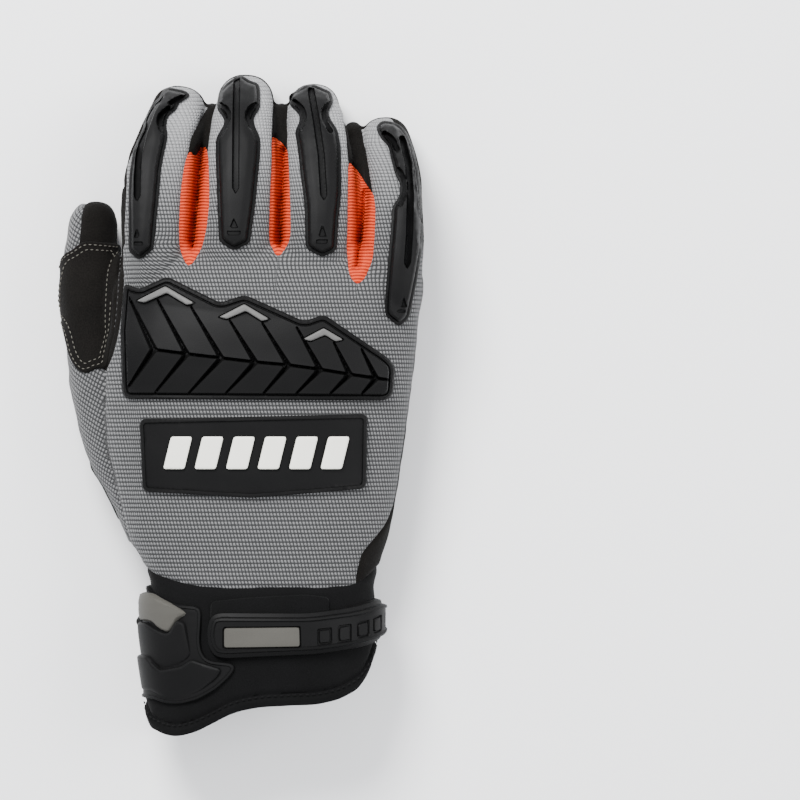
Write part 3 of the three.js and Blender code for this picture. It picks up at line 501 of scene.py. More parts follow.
def bent_tube(line, wide, deep, cap, lowest):
    """A tube round a bent middle line, with a rounded tip."""
    ahead = np.gradient(line, axis=0)
    ahead /= np.linalg.norm(ahead, axis=1)[:, None]
    end, tip_wide, tip_deep, out = line[-1], wide[-1], deep[-1], ahead[-1]
    for turn in np.linspace(0.12, 1.5, 12):
        share = math.cos(turn) ** 0.8
        line = np.vstack([line, end + out * cap * math.sin(turn)])
        wide, deep = np.append(wide, tip_wide * share), np.append(deep, tip_deep * share)
        ahead = np.vstack([ahead, out])
    rings = []
    for centre, direction, w, d in zip(line, ahead, wide, deep):
        across = np.array([1.0, 0, 0]) - direction[0] * direction
        across /= np.linalg.norm(across)
        up = np.cross(across, direction)
        x, z = oval(w, d, TUBE_POWER, TUBE_SIDES)
        ring = centre + x[:, None] * across + z[:, None] * up
        ring[:, 2] = np.maximum(ring[:, 2], lowest)
        rings.append(ring)
    return tube(rings)


def finger_line(finger, at):
    """Middle line, half width and half depth of a finger at shares of its length."""
    tip = 0.39 * FINGER_DEPTH - 0.6
    line = np.stack([
        smooth_read(FINGER_AT, finger["centre"], at) * PALM_WIDTH,
        finger["knuckle"] * PALM_LENGTH + np.asarray(at) * finger["length"],
        tip + (KNUCKLE_HEIGHT - tip) * smooth_read(FINGER_AT, FINGER_DROP, at),
    ], -1) + SHIFT
    wide = smooth_read(FINGER_AT, finger["half"], at) * finger["width"] - GAP_TRIM
    return line, wide, smooth_read(FINGER_AT, FINGER_THICK, at) * FINGER_DEPTH


def thumb_line(back):
    """Middle line, half width and half depth of the thumb, back from its tip."""
    rows = THUMB_ROWS[::-1]
    line = np.stack([
        smooth_read(rows[:, 0], rows[:, 1], back) * PALM_WIDTH,
        THUMB_TIP_Y - np.asarray(back) * THUMB_LENGTH,
        PALM_FLOOR + smooth_read(rows[:, 0], rows[:, 2], back) * PALM_DEPTH,
    ], -1) + SHIFT
    return line, smooth_read(rows[:, 0], rows[:, 3], back), smooth_read(rows[:, 0], rows[:, 4], back)


def web_tube():
    """The crook between thumb and hand, where the cloth spans from one to the other."""
    y = np.linspace(10, 56, 24)
    swell = np.sqrt(np.clip(1 - ((y - WEB_MIDDLE) / WEB_REACH) ** 2, 0.02, 1))
    line = np.stack([np.full_like(y, WEB_X), y, 21.5 - 0.05 * (y - WEB_MIDDLE)], 1) + SHIFT
    return bent_tube(line, 7.5 * swell, 10 * swell, 1.0, 1.6)


def between_fingers(left, right, top):
    """Cloth pressed together in the depth between two neighbouring fingers."""
    y = np.linspace(46, top, 40)
    sides = []
    for name, sign in ((left, 1), (right, -1)):
        line, wide, _ = finger_line(FINGERS[name], np.linspace(-0.35, 0.85, 60))
        sides.append((np.interp(y, line[:, 1], line[:, 0] + sign * wide),
                      np.interp(y, line[:, 1], line[:, 2])))
    (from_x, from_z), (to_x, to_z) = sides
    end = np.sqrt(np.clip((top + 1 - y) / 5, 0.05, 1))
    line = np.stack([(from_x + to_x) / 2, y, (from_z + to_z) / 2 - PRESSED_DROP], 1)
    half = (np.maximum(to_x - from_x, 0) / 2 + PRESSED_SPARE) * end
    return bent_tube(line, half, PRESSED_DEEP * end, 1.0, 1.0)


lofts = [palm_tube(), web_tube()]
for left, right, top in (("index", "middle", 113.5), ("middle", "ring", 113.5), ("ring", "little", 106.5)):
    lofts.append(between_fingers(left, right, top))
for finger in FINGERS.values():
    lofts.append(bent_tube(*finger_line(finger, np.linspace(-0.4, 0.85, 60)), TIP_CAP, 0.0))
lofts.append(bent_tube(*thumb_line(np.linspace(1.16, 0.1, 60)), TIP_CAP, 1.6))
points = np.vstack([part[0] for part in lofts])
starts = np.cumsum([0] + [len(part[0]) for part in lofts])
faces = np.vstack([part[1] + start for part, start in zip(lofts, starts)])
print("lofts:", len(lofts), "points:", len(points))

# %% [markdown]
# The voxel remesh melts the crossing lofts into one skin of even small faces. It leaves
# a faint staircase, which a few rounds of Taubin smoothing take out without shrinking
# the form, because each inward step is followed by an outward one.

# %% One skin
VOXEL = 0.95
SMOOTH_ROUNDS = 14


def mesh_from(name, points, faces):
    mesh = bpy.data.meshes.new(name)
    mesh.vertices.add(len(points))
    mesh.vertices.foreach_set("co", np.asarray(points, np.float32).ravel())
    mesh.loops.add(3 * len(faces))
    mesh.loops.foreach_set("vertex_index", np.asarray(faces, np.int32).ravel())
    mesh.polygons.add(len(faces))
    mesh.polygons.foreach_set("loop_start", np.arange(0, 3 * len(faces), 3, dtype=np.int32))
    mesh.update(calc_edges=True)
    return mesh


def read_mesh(mesh):
    """Points and triangles of a mesh, its four-sided faces split in two."""
    points = np.empty(3 * len(mesh.vertices), np.float32)
    mesh.vertices.foreach_get("co", points)
    mesh.calc_loop_triangles()
    faces = np.empty(3 * len(mesh.loop_triangles), np.int32)
    mesh.loop_triangles.foreach_get("vertices", faces)
    return points.reshape(-1, 3).astype(float), faces.reshape(-1, 3)


def applied(source):
    """The mesh that an object's modifiers make; the object itself is removed."""
    ready = source.evaluated_get(bpy.context.evaluated_depsgraph_get())
    mesh = bpy.data.meshes.new_from_object(ready)
    bpy.data.objects.remove(source)
    return mesh


def voxel_skin(points, faces):
    source = bpy.data.objects.new("lofts", mesh_from("lofts", points * MM, faces))
    scene.collection.objects.link(source)
    remesh = source.modifiers.new("skin", "REMESH")
    remesh.mode = "VOXEL"
    remesh.voxel_size = VOXEL * MM
    mesh = applied(source)
    skin, triangles = read_mesh(mesh)
    bpy.data.meshes.remove(mesh)
    return skin / MM, triangles


def edges_of(faces):
    """Every edge once, as a pair of points."""
    pairs = np.sort(np.vstack([faces[:, [0, 1]], faces[:, [1, 2]], faces[:, [2, 0]]]), axis=1)
    return np.unique(pairs, axis=0)


def neighbour_mean(values, edges, count):
    total = np.zeros_like(values)
    for k in range(values.shape[1]):
        total[:, k] = (np.bincount(edges[:, 0], values[edges[:, 1], k], len(values))
                       + np.bincount(edges[:, 1], values[edges[:, 0], k], len(values)))
    return total / count[:, None]


def relaxed(values, faces, rounds, pull=0.5, push=-0.53):
    """Values at points drawn towards their neighbours' mean, then pushed back."""
    edges = edges_of(faces)
    count = np.maximum(1, np.bincount(edges.ravel(), minlength=len(values)))
    for _ in range(rounds):
        for amount in (pull, push):
            values = values + amount * (neighbour_mean(values, edges, count) - values)
    return values


def point_normals(points, faces):
    a, b, c = (points[faces[:, k]] for k in range(3))
    face_normals = np.cross(b - a, c - a)
    normals = np.zeros_like(points)
    for k in range(3):
        for axis in range(3):
            normals[:, axis] += np.bincount(faces[:, k], face_normals[:, axis], len(points))
    return normals / np.maximum(np.linalg.norm(normals, axis=1), 1e-12)[:, None]


skin, skin_faces = voxel_skin(points, faces)
skin = relaxed(skin, skin_faces, SMOOTH_ROUNDS)
print("skin points", len(skin), "triangles", len(skin_faces), "lowest", skin[:, 2].min().round(2))

# %% [markdown]
# Cloth is never as smooth as a loft. Slow noise gives the panels soft hollows and folds:
# little on the stretched back, more on the palm, on the thumb and on the cuff, except
# where the strap holds it flat.

# %% Folds
PALM_FOLDS, CUFF_FOLDS, THUMB_FOLDS, BACK_FOLDS = 0.55, 0.5, 0.35, 0.22
SLOW_FOLDS = (0.045, 0.06, 0.06)
QUICK_FOLDS = (0.11, 0.17, 0.12)
QUICK_SHARE = 0.55
STRAP_HOLD = 0.7


def fold_depth(points):
    """How far the cloth swells at each point, from two slow noises."""
    depth = np.empty(len(points))
    for i, point in enumerate(points):
        slow, quick = point * SLOW_FOLDS, point * QUICK_FOLDS + (7, 0, 0)
        depth[i] = noise.noise(Vector(slow)) + QUICK_SHARE * noise.noise(Vector(quick))
    return depth


skin_normals = point_normals(skin, skin_faces)
folds = fold_depth(skin)
palm_side = np.clip(0.35 - skin_normals[:, 2], 0, 1)
on_cuff = np.clip((-62 - skin[:, 1]) / 10, 0, 1)
near_thumb = np.clip((-40 - skin[:, 0]) / 8, 0, 1)
swell = folds * (BACK_FOLDS + PALM_FOLDS * palm_side + CUFF_FOLDS * on_cuff + THUMB_FOLDS * near_thumb)
swell *= np.clip((skin[:, 2] - 0.5) / 4, 0, 1)
below_wrist = np.clip((-70 - skin[:, 1]) / 6, 0, 1)
above_hem = np.clip((skin[:, 1] + 112) / 6, 0, 1)
swell *= 1 - STRAP_HOLD * below_wrist * above_hem
skin = skin + skin_normals * swell[:, None]
skin_normals = relaxed(point_normals(skin, skin_faces), skin_faces, 2)
skin_normals /= np.linalg.norm(skin_normals, axis=1)[:, None]
print("folds", swell.min().round(2), swell.max().round(2), "mm")

# %% [markdown]
# Outlines are kept on a measuring sheet laid over the glove, one unit to 0.378 mm, and
# turned into millimetres here. Corners are rounded by cutting them twice, as a needle or
# a moulding tool does.

# %% Outlines
SHEET_UNIT = 0.378
SHEET_ORIGIN = (243, 404)


def on_sheet(points):
    """Points of the measuring sheet in millimetres on the glove."""
    u, v = np.asarray(points, float).T
    return np.stack([(u - SHEET_ORIGIN[0]) * SHEET_UNIT + SHIFT[0],
                     (SHEET_ORIGIN[1] - v) * SHEET_UNIT + SHIFT[1]], 1)


def rounded(outline, reach, rounds=2, closed=True):
    """Cuts the corners of an outline, each by no more than reach."""
    outline = np.asarray(outline, float)
    for _ in range(rounds):
        after = np.roll(outline, -1, axis=0) if closed else outline[1:]
        before = outline if closed else outline[:-1]
        gap = after - before
        length = np.maximum(np.linalg.norm(gap, axis=1), 1e-9)[:, None]
        cut = np.minimum(reach, 0.27 * length) * gap / length
        pairs = np.stack([before + cut, after - cut], 1).reshape(-1, 2)
        outline = pairs if closed else np.vstack([outline[:1], pairs[1:-1], outline[-1:]])
        reach *= 0.5
    return outline


def line_distance(line, points):
    """Distance to an open line of points."""
    best = np.full(len(points), 1e9)
    for (ax, ay), (bx, by) in zip(line[:-1], line[1:]):
        dx, dy = bx - ax, by - ay
        t = np.clip(((points[:, 0] - ax) * dx + (points[:, 1] - ay) * dy)
                    / max(dx * dx + dy * dy, 1e-12), 0, 1)
        best = np.minimum(best, np.hypot(points[:, 0] - ax - t * dx, points[:, 1] - ay - t * dy))
    return best


def inside_distance(outline, points):
    """Distance to a closed outline, positive inside."""
    ring = np.vstack([outline, outline[:1]])
    inside = np.zeros(len(points), bool)
    for (ax, ay), (bx, by) in zip(ring[:-1], ring[1:]):
        if ay != by:
            crosses = (points[:, 1] >= min(ay, by)) & (points[:, 1] < max(ay, by))
            inside ^= crosses & (points[:, 0] < ax + (points[:, 1] - ay) * (bx - ax) / (by - ay))
    best = line_distance(ring, points)
    return np.where(inside, best, -best)


def inside(*outlines):
    """A function of points: the distance to the nearest of some outlines, positive inside."""
    return lambda points: np.max([inside_distance(outline, points) for outline in outlines], axis=0)


# %% Seam lines
CUFF_END = on_sheet([
    (100, 712), (144.7, 714), (150, 725), (158, 730), (174.8, 734.5), (193, 731), (210.4, 723),
    (233, 711.6), (256, 706), (290, 703.5), (323, 701.5), (346, 694.5), (361, 684), (369, 671),
    (376, 652), (420, 640)])
HEM_WIDTH = 4.5
WRIST_SEAM = on_sheet([
    (60, 552), (138.6, 562.3), (147.2, 570.3), (164.4, 577.2), (199, 584.7), (222, 586.4),
    (290, 585.8), (333.5, 586), (363.3, 580), (376, 570), (400, 545), (450, 530)])
THUMB_SEAM = on_sheet([(122.5, 150), (122.5, 285), (121.5, 299), (119.5, 320), (116.5, 337),
                       (111.5, 355), (105.5, 368), (103.5, 388), (104, 434), (107, 455),
                       (113, 475), (119, 502), (126, 530), (134, 571)])
CROOK_STRIP = on_sheet([(108, 243), (116, 226), (121, 200), (130, 200), (130, 372), (104, 372), (101, 366),
                        (107, 345), (111, 333), (111, 300), (110, 271)])
GUSSETS = {
    "gusset_index_middle": on_sheet([
        (190.5, 148.6), (185.6, 165.4), (182.8, 189.3), (181.7, 210.3), (181.1, 231.4), (182.1, 251),
        (185.6, 262.3), (189.8, 265.5), (194, 262.3), (201, 248.2), (206, 228.6), (208.5, 203.3),
        (208, 182.3), (206, 154.2), (203.2, 140.2), (199.5, 150), (196.5, 157)]),
    "gusset_middle_ring": on_sheet([
        (275.5, 134.8), (272.9, 137), (273.5, 162.6), (272.1, 192), (271.4, 221.3), (271.1, 240.4),
        (274, 251), (277.7, 255.7), (282, 253.5), (286, 246), (289.4, 236), (288.9, 206.6),
        (287.6, 177.3), (286.5, 155.3), (284.8, 148), (281, 140)]),
    "gusset_ring_little": on_sheet([
        (349.8, 160.4), (349.6, 196), (349.3, 229.3), (348, 262.4), (350.6, 277.3), (357.2, 284.8),
        (363, 281.5), (367.5, 274), (371.3, 262.4), (373.3, 237.5), (374.3, 212.7), (373, 196),
        (369, 190), (364, 184), (359.7, 172.9), (355, 164)]),
}
# where the knit of the back stops on each finger: left and right, from palm to tip
KNIT_EDGES = {
    "index": ([(126, 300), (123.5, 230), (125.5, 166), (132, 148), (142, 124), (151, 104), (162, 86)],
              [(184, 262), (184, 230), (185, 190), (188, 160), (190.5, 146), (192.6, 136), (198, 124),
               (201.8, 115), (207, 101), (212, 86)]),
    "middle": ([(197, 262), (203, 230), (206, 185), (204, 155), (203, 141), (205.5, 128), (211, 100),
                (217, 76)],
               [(273, 250), (273, 221), (274, 190), (275, 160), (273.3, 136), (273.3, 100), (272, 84),
                (268, 62)]),
    "ring": ([(286, 250), (287, 236), (286.5, 200), (285.5, 155), (285.3, 140), (285, 118), (286, 98),
              (291, 76)],
             [(353, 283), (352, 240), (352, 196), (351, 165), (349.8, 158), (348, 138), (344, 116),
              (339, 98), (330, 70)]),
    "little": ([(365, 276), (369, 262), (371, 235), (371.5, 205), (371.3, 194.4), (366.3, 163),
                (362, 138), (361, 122), (365, 104)],
               [(428, 330), (427, 268), (421, 240), (417, 205), (413, 168), (406, 144), (397, 124),
                (388, 104)]),
}


def height_of_line(line, x):
    """y of a line that runs across the glove, at x."""
    order = np.argsort(line[:, 0])
    return smooth_read(line[order, 0], line[order, 1], x)


def across_of_line(line, y):
    """x of a line that runs along the glove, at y."""
    order = np.argsort(line[:, 1])
    return np.interp(y, line[order, 1], line[order, 0])


print("seams:", 3 + len(GUSSETS) + 2 * len(KNIT_EDGES), "lines and the strip in the thumb's crook")


# %% [markdown]
# ## The way of the cloth
# Knit follows the body it covers. Its UV map is worked out, not unwrapped: across, it is
# the distance round the section of the hand, finger or thumb; along, the distance down
# the middle line. Both are in millimetres, so no pattern stretches on the sides.

# %% Cloth coordinates
CLOTH_POWER = 2.4
THUMB_CLOTH_LEAN = math.radians(32)


def run_of(steps):
    """How far each point of a line lies from its start, from the steps between them."""
    return np.concatenate([[0], np.cumsum(steps)])


def round_distance(x, z, half_wide, half_deep):
    """Distance round an oval from its top, for points seen from its middle."""
    turn = np.arctan2(x / half_wide, z / half_deep)
    steps = np.linspace(0, math.pi, 181)
    ratio = float(np.mean(half_deep / half_wide))
    curve = np.sign(np.sin(steps)) * np.abs(np.sin(steps)) ** (2 / CLOTH_POWER)
    rise = ratio * np.sign(np.cos(steps)) * np.abs(np.cos(steps)) ** (2 / CLOTH_POWER)
    run = run_of(np.hypot(np.diff(curve), np.diff(rise)))
    return np.sign(turn) * np.interp(np.abs(turn), np.arctan2(curve, rise / ratio), run) * half_wide


def tube_cloth(points, line, wide, deep):
    """Across and along for points round a bent tube."""
    order = np.argsort(line[:, 1])
    line, wide, deep = line[order], wide[order], deep[order]
    length = run_of(np.linalg.norm(np.diff(line, axis=0), axis=1))
    y = points[:, 1]
    centre_x, centre_z = np.interp(y, line[:, 1], line[:, 0]), np.interp(y, line[:, 1], line[:, 2])
    half, thick = np.interp(y, line[:, 1], wide), np.interp(y, line[:, 1], deep)
    across = centre_x + round_distance(points[:, 0] - centre_x, points[:, 2] - centre_z, half, thick)
    along = np.interp(y, line[:, 1], length) + line[0, 1]
    past = np.maximum(0, y - line[-1, 1])
    return across, along + past


def palm_cloth(points):
    """Across and along for points round the palm and the cuff."""
    y = points[:, 1]
    left, right, base, top, _ = palm_section(y)
    middle = (left + right) / 2 + SHIFT[0]
    across = middle + round_distance(points[:, 0] - middle, points[:, 2] - (base + top) / 2,
                                     (right - left) / 2, (top - base) / 2)
    return across, y.copy()


def ramp(value, low, high):
    """A soft step from 0 at low to 1 at high."""
    t = np.clip((value - low) / (high - low), 0, 1)
    return t * t * (3 - 2 * t)


finger_lines = [finger_line(finger, np.linspace(-0.1, 0.85, 40)) for finger in FINGERS.values()]
reach = np.stack([np.abs(skin[:, 0] - np.interp(skin[:, 1], line[:, 1], line[:, 0]))
                  / np.interp(skin[:, 1], line[:, 1], wide)
                  for line, wide, _ in finger_lines])
owner = reach.argmin(0)
across, along = palm_cloth(skin)
for i, (line, wide, deep) in enumerate(finger_lines):
    mine = owner == i
    finger_across, finger_along = tube_cloth(skin[mine], line, wide, deep)
    share = ramp(skin[mine, 1], line[0, 1] - 6, line[0, 1] + 22)
    joint = (share > 0.1) & (share < 0.9) & (skin[mine, 2] > 38)
    finger_across -= np.median((finger_across - across[mine])[joint])
    finger_along -= np.median((finger_along - along[mine])[joint])
    across[mine] += share * (finger_across - across[mine])
    along[mine] += share * (finger_along - along[mine])

# beside the thumb and under the palm the cloth lies flat, so across follows x
beside_thumb = 1 - ramp(skin[:, 0], -43, -37)
slant = 1.1 * skin[:, 0] + 1.5
across += beside_thumb * (skin[:, 2] > 12) * (slant - across)
under_palm = (skin[:, 2] < 14) & (skin[:, 1] < 45)
across[under_palm] = skin[under_palm, 0]

# the thumb's knit is cut askew
seam_x = across_of_line(THUMB_SEAM, skin[:, 1])
on_thumb = (skin[:, 0] < seam_x + 0.3) & (skin[:, 1] > THUMB_SEAM[-1, 1])
thumb_across, thumb_along = tube_cloth(skin[on_thumb], *thumb_line(np.linspace(0.1, 1.16, 40)))
cos, sin = math.cos(THUMB_CLOTH_LEAN), math.sin(THUMB_CLOTH_LEAN)
across[on_thumb] = thumb_across * cos - thumb_along * sin
along[on_thumb] = thumb_across * sin + thumb_along * cos
print("cloth runs", across.min().round(), across.max().round(),
      "by", along.min().round(), along.max().round())

# %% [markdown]
# ## Cutting the skin into panels
# A seam is the zero line of a number kept at every point of the skin: positive on one
# side, negative on the other. Triangles that the line crosses are split exactly on it, so
# the two panels share a clean edge. Points that lie close to the line are moved onto it
# first, which avoids thin slivers.

# %% Splitting triangles along a line
SNAP_SHARE = 0.22


def split_on(table, faces, column, value, locked):
    """Splits faces where a column of the table passes a value; locked points stay in place."""
    signed = table[:, column] - value
    signed[np.abs(signed) < 1e-7] = 0
    edges = edges_of(faces)
    a, b = edges[:, 0], edges[:, 1]
    cross = signed[a] * signed[b] < 0
    a, b = a[cross], b[cross]
    t = signed[a] / (signed[a] - signed[b])
    table = table.copy()
    for near, far, share in ((a, b, t), (b, a, 1 - t)):
        pick = np.flatnonzero((share < SNAP_SHARE) & ~locked[near] & (signed[near] != 0))
        pick = pick[np.argsort(-share[pick])]
        moved, goal = near[pick], far[pick]
        table[moved] += (table[goal] - table[moved]) * share[pick][:, None]
        table[moved, column] = value
        signed[moved] = 0
    locked = locked | (signed == 0)
    cross = signed[edges[:, 0]] * signed[edges[:, 1]] < 0
    cut = edges[cross]
    t = (signed[cut[:, 0]] / (signed[cut[:, 0]] - signed[cut[:, 1]]))[:, None]
    fresh = table[cut[:, 0]] * (1 - t) + table[cut[:, 1]] * t
    fresh[:, column] = value
    start = len(table)
    table = np.vstack([table, fresh])
    signed = np.concatenate([signed, np.zeros(len(fresh))])
    locked = np.concatenate([locked, np.ones(len(fresh), bool)])
    keys = cut[:, 0].astype(np.int64) * start + cut[:, 1]
    order = np.argsort(keys)
    keys = keys[order]

    def fresh_point(i, j):
        key = np.minimum(i, j).astype(np.int64) * start + np.maximum(i, j)
        return start + order[np.searchsorted(keys, key)]

    side = np.sign(signed[faces]).astype(int)
    whole = ~((side.max(1) > 0) & (side.min(1) < 0))
    parts = [faces[whole]]
    rest, side = faces[~whole], side[~whole]
    zeros = (side == 0).any(1)
    tri, mark = rest[zeros], side[zeros]
    if len(tri):
        turn = (mark == 0).argmax(1)
        row = np.arange(len(tri))
        p, q, r = (tri[row, (turn + k) % 3] for k in range(3))
        middle = fresh_point(q, r)
        parts += [np.stack([p, q, middle], 1), np.stack([p, middle, r], 1)]
    tri, mark = rest[~zeros], side[~zeros]
    if len(tri):
        row = np.arange(len(tri))
        total = mark.sum(1)
        turn = (mark == -total[:, None]).argmax(1)
        p, q, r = (tri[row, (turn + k) % 3] for k in range(3))
        pq, pr = fresh_point(p, q), fresh_point(p, r)
        parts += [np.stack([p, pq, pr], 1), np.stack([pq, q, r], 1), np.stack([pq, r, pr], 1)]
    return table, np.vstack(parts), locked


def side_of(table, faces, column):
    """True for faces on the positive side."""
    return table[faces, column].mean(1) > 0


# %% Seam numbers at every point
PALM_SEAM_HEIGHT = 28.6
SIDE_STRIP_RISE = 13


def thumb_middle(y):
    """x and z of the thumb's middle line at y."""
    line, _, _ = thumb_line(np.linspace(0.1, 1.16, 60))
    line = line[np.argsort(line[:, 1])]
    return np.interp(y, line[:, 1], line[:, 0]), np.interp(y, line[:, 1], line[:, 2])


xy = skin[:, :2]
beyond_end = xy[:, 1] - height_of_line(CUFF_END, xy[:, 0])
beyond_hem = beyond_end - HEM_WIDTH
beyond_wrist = xy[:, 1] - height_of_line(WRIST_SEAM, xy[:, 0])
in_thumb = np.minimum(across_of_line(THUMB_SEAM, xy[:, 1]) - xy[:, 0], xy[:, 1] - THUMB_SEAM[-1, 1])
in_gusset = inside(*(rounded(outline, 2.0) for outline in GUSSETS.values()))(xy)

finger_seam = np.choose(owner, [
    np.interp(xy[:, 1], line[:, 1], line[:, 2]) for line, _, _ in finger_lines]) + 2.0
seam_height = PALM_SEAM_HEIGHT + ramp(xy[:, 1], 30, 62) * (finger_seam - PALM_SEAM_HEIGHT)
side_strip = ramp(xy[:, 1], -34, -58) * ramp(xy[:, 0], 20, 40)
seam_height = seam_height + side_strip * SIDE_STRIP_RISE
above_seam = skin[:, 2] - seam_height
for i, (left, right) in enumerate(KNIT_EDGES.values()):
    mine = (owner == i) & (xy[:, 1] > 60)
    left, right = on_sheet(left), on_sheet(right)
    to_left = xy[mine, 0] - across_of_line(left, xy[mine, 1])
    to_right = across_of_line(right, xy[mine, 1]) - xy[mine, 0]
    above_seam[mine] = np.minimum(above_seam[mine], np.minimum(to_left, to_right))

thumb_y = np.clip((THUMB_TIP_Y + SHIFT[1] - skin[:, 1]) / THUMB_LENGTH, 0.05, 1.1)
turn = ramp(thumb_y, 0.36, 0.6)
mid_x, mid_z = thumb_middle(skin[:, 1])
thumb_out = (-(0.98 - 0.17 * turn) * (skin[:, 0] - mid_x) + (-0.2 + 0.78 * turn) * (skin[:, 2] - mid_z)
             - 2.3 * (1 - turn))
thumb_out = np.minimum(thumb_out, -inside_distance(rounded(CROOK_STRIP, 2.0), xy))

# %% [markdown]
# Each panel is cut out in turn: the cuff end first, then the hem, the wrist, the thumb,
# the three stretch strips, the seam between back and palm, and last the thumb's halves.

# %% Cut the panels
COLUMNS = ["x", "y", "z", "nx", "ny", "nz", "across", "along", "end", "hem", "wrist", "thumb",
           "gusset", "back", "thumb_out"]
table = np.column_stack([skin, skin_normals, across, along, beyond_end, beyond_hem, beyond_wrist,
                         in_thumb, in_gusset, above_seam, thumb_out])
locked = np.zeros(len(table), bool)
column = {name: i for i, name in enumerate(COLUMNS)}
panels = {"all": skin_faces}


def divide(source, by, positive, negative):
    """Splits one panel along a seam into two named ones; None drops a side."""
    global table, locked
    table, faces, locked = split_on(table, panels.pop(source), column[by], 0.0, locked)
    up = side_of(table, faces, column[by])
    for name, part in ((positive, faces[up]), (negative, faces[~up])):
        if name:
            panels[name] = part


divide("all", "end", "glove", None)
divide("glove", "hem", "above_hem", "cuff_hem")
divide("above_hem", "wrist", "hand", "cuff")
divide("hand", "thumb", "thumb", "fingers")
divide("fingers", "gusset", "gussets", "body")
divide("body", "back", "back_panel", "palm_panel")
divide("thumb", "thumb_out", "thumb_back_panel", "thumb_palm_panel")
strip_faces = panels.pop("gussets")
middles = table[strip_faces, 0].mean(1)
for name, low, high in zip(GUSSETS, (-99, 2.5, 30), (2.5, 30, 99)):
    panels[name] = strip_faces[(middles > low) & (middles <= high)]
print({name: len(part) for name, part in panels.items()})

# %% [markdown]
# A seam pulls the cloth in. Every point near a panel's edge sinks by a small smooth
# amount, and the edges are found by a search for the nearest seam point.

# %% Sink the seams
SEAM_DEPTH = 0.75
SEAM_REACH = 1.15
all_faces = np.vstack(list(panels.values()))
seen = np.zeros(len(table), int)
for part in panels.values():
    seen[np.unique(part)] += 1
seam_points = np.flatnonzero(seen > 1)
tree = KDTree(len(seam_points))
for i, p in enumerate(table[seam_points, :3]):
    tree.insert(p, i)
tree.balance()
used = np.unique(all_faces)
to_seam = np.full(len(table), 99.0)
for i in used:
    to_seam[i] = tree.find(table[i, :3])[2]
sink = SEAM_DEPTH * np.exp(-(to_seam / SEAM_REACH) ** 2)
sink *= np.clip((table[:, 2] - 0.4) / 2, 0, 1)
shape = table[:, :3] - table[:, 3:6] * sink[:, None]
print("seam points", len(seam_points))

# %% [markdown]
# The orange strips are folded: their two rolls meet in a slit. The skin is pressed
# straight down along three lines to make it.

# %% Slits between the rolls
SLIT_DEPTH, SLIT_REACH, SLIT_POWER, SLIT_END = 6.5, 2.0, 1.3, 2.5
SLITS = [on_sheet(line) for line in (
    [(199.4, 148), (198.4, 175), (196, 205), (193.4, 232), (192, 254)],
    [(283.4, 148), (282.8, 183), (280.4, 213), (280.2, 241), (279.6, 250)],
    [(366, 192), (365.6, 205), (363.6, 222), (359.8, 244), (356.2, 273)])]
for slit in SLITS:
    reach = line_distance(slit, shape[:, :2])
    fade = np.clip((shape[:, 1] - slit[:, 1].min()) / SLIT_END, 0, 1)
    press = SLIT_DEPTH * np.clip(1 - reach / SLIT_REACH, 0, 1) ** SLIT_POWER * fade
    shape[:, 2] -= press * np.clip(table[:, 5] * 3, 0, 1)
print("slits:", len(SLITS))

# %% Making a piece


def compact(faces):
    """The points that faces use, and the faces renumbered to them."""
    used, faces = np.unique(faces, return_inverse=True)
    return used, faces.reshape(-1, 3)


def ride_on_root(name, mesh, replaces=()):
    """A mesh as a visible piece that rides on the one body."""
    piece = bpy.data.objects.new(name, mesh)
    scene.collection.objects.link(piece)
    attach(piece, "root")
    if replaces:
        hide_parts(*replaces)
    return piece


def make_piece(name, points, faces, material, replaces, crease, cloth=None):
    """A finished piece of the glove, in metres, with its finish and its cloth coordinates."""
    used, faces = compact(faces)
    mesh = mesh_from(name, points[used] * MM, faces)
    if cloth is not None:
        layer = mesh.uv_layers.new(name="cloth")
        layer.data.foreach_set("uv", cloth[used][faces.ravel()].astype(np.float32).ravel())
    mesh.polygons.foreach_set("use_smooth", np.ones(len(faces), bool))
    mesh.set_sharp_from_angle(angle=math.radians(crease))
    mesh.materials.append(material)
    mesh.update()
    return ride_on_root(name, mesh, replaces)


def rim_of(faces):
    """Directed edges that only one face uses."""
    directed = np.vstack([faces[:, [0, 1]], faces[:, [1, 2]], faces[:, [2, 0]]]).astype(np.int64)
    size = faces.max() + 1
    forward = directed[:, 0] * size + directed[:, 1]
    backward = directed[:, 1] * size + directed[:, 0]
    return directed[~np.isin(forward, backward)]


def walled(points, inner, faces):
    """Closes an open sheet with a second layer and a wall round its rim."""
    count = len(points)
    rim = rim_of(faces)
    a, b = rim[:, 0], rim[:, 1]
    wall = np.vstack([np.stack([b, a, a + count], 1), np.stack([b, a + count, b + count], 1)])
    return np.vstack([points, inner]), np.vstack([faces, faces[:, ::-1] + count, wall])


# %% [markdown]
# Real panels are one layer of cloth, so each cut piece gets an inner face 1.7 mm inside
# the outer one and a wall along its edge. The cuff stays open.

# %% Panels
CLOTH_WALL = 1.7
HEM_PROUD, HEM_MIDDLE, HEM_HALF = 0.55, -2.3, 2.4
PANEL_CREASE = 70
PANEL_FINISH = {
    "back_panel": ("back_knit", KNIT, "knit"),
    "palm_panel": ("palm_suede", SUEDE, "suede"),
    "thumb_back_panel": ("thumb_knit", KNIT, "knit"),
    "thumb_palm_panel": ("thumb_suede", SUEDE, "suede"),
    "gusset_index_middle": ("rib_index_middle", RIB, "rib"),
    "gusset_middle_ring": ("rib_middle_ring", RIB, "rib"),
    "gusset_ring_little": ("rib_ring_little", RIB, "rib"),
    "cuff": ("cuff_cloth", STRETCH, "neoprene"),
    "cuff_hem": ("turned_hem", STRETCH, "neoprene"),
}
cloth_map = table[:, 6:8]
inner_shape = shape - table[:, 3:6] * CLOTH_WALL
inner_shape[:, 2] = np.maximum(inner_shape[:, 2], shape[:, 2].min() + 0.2)
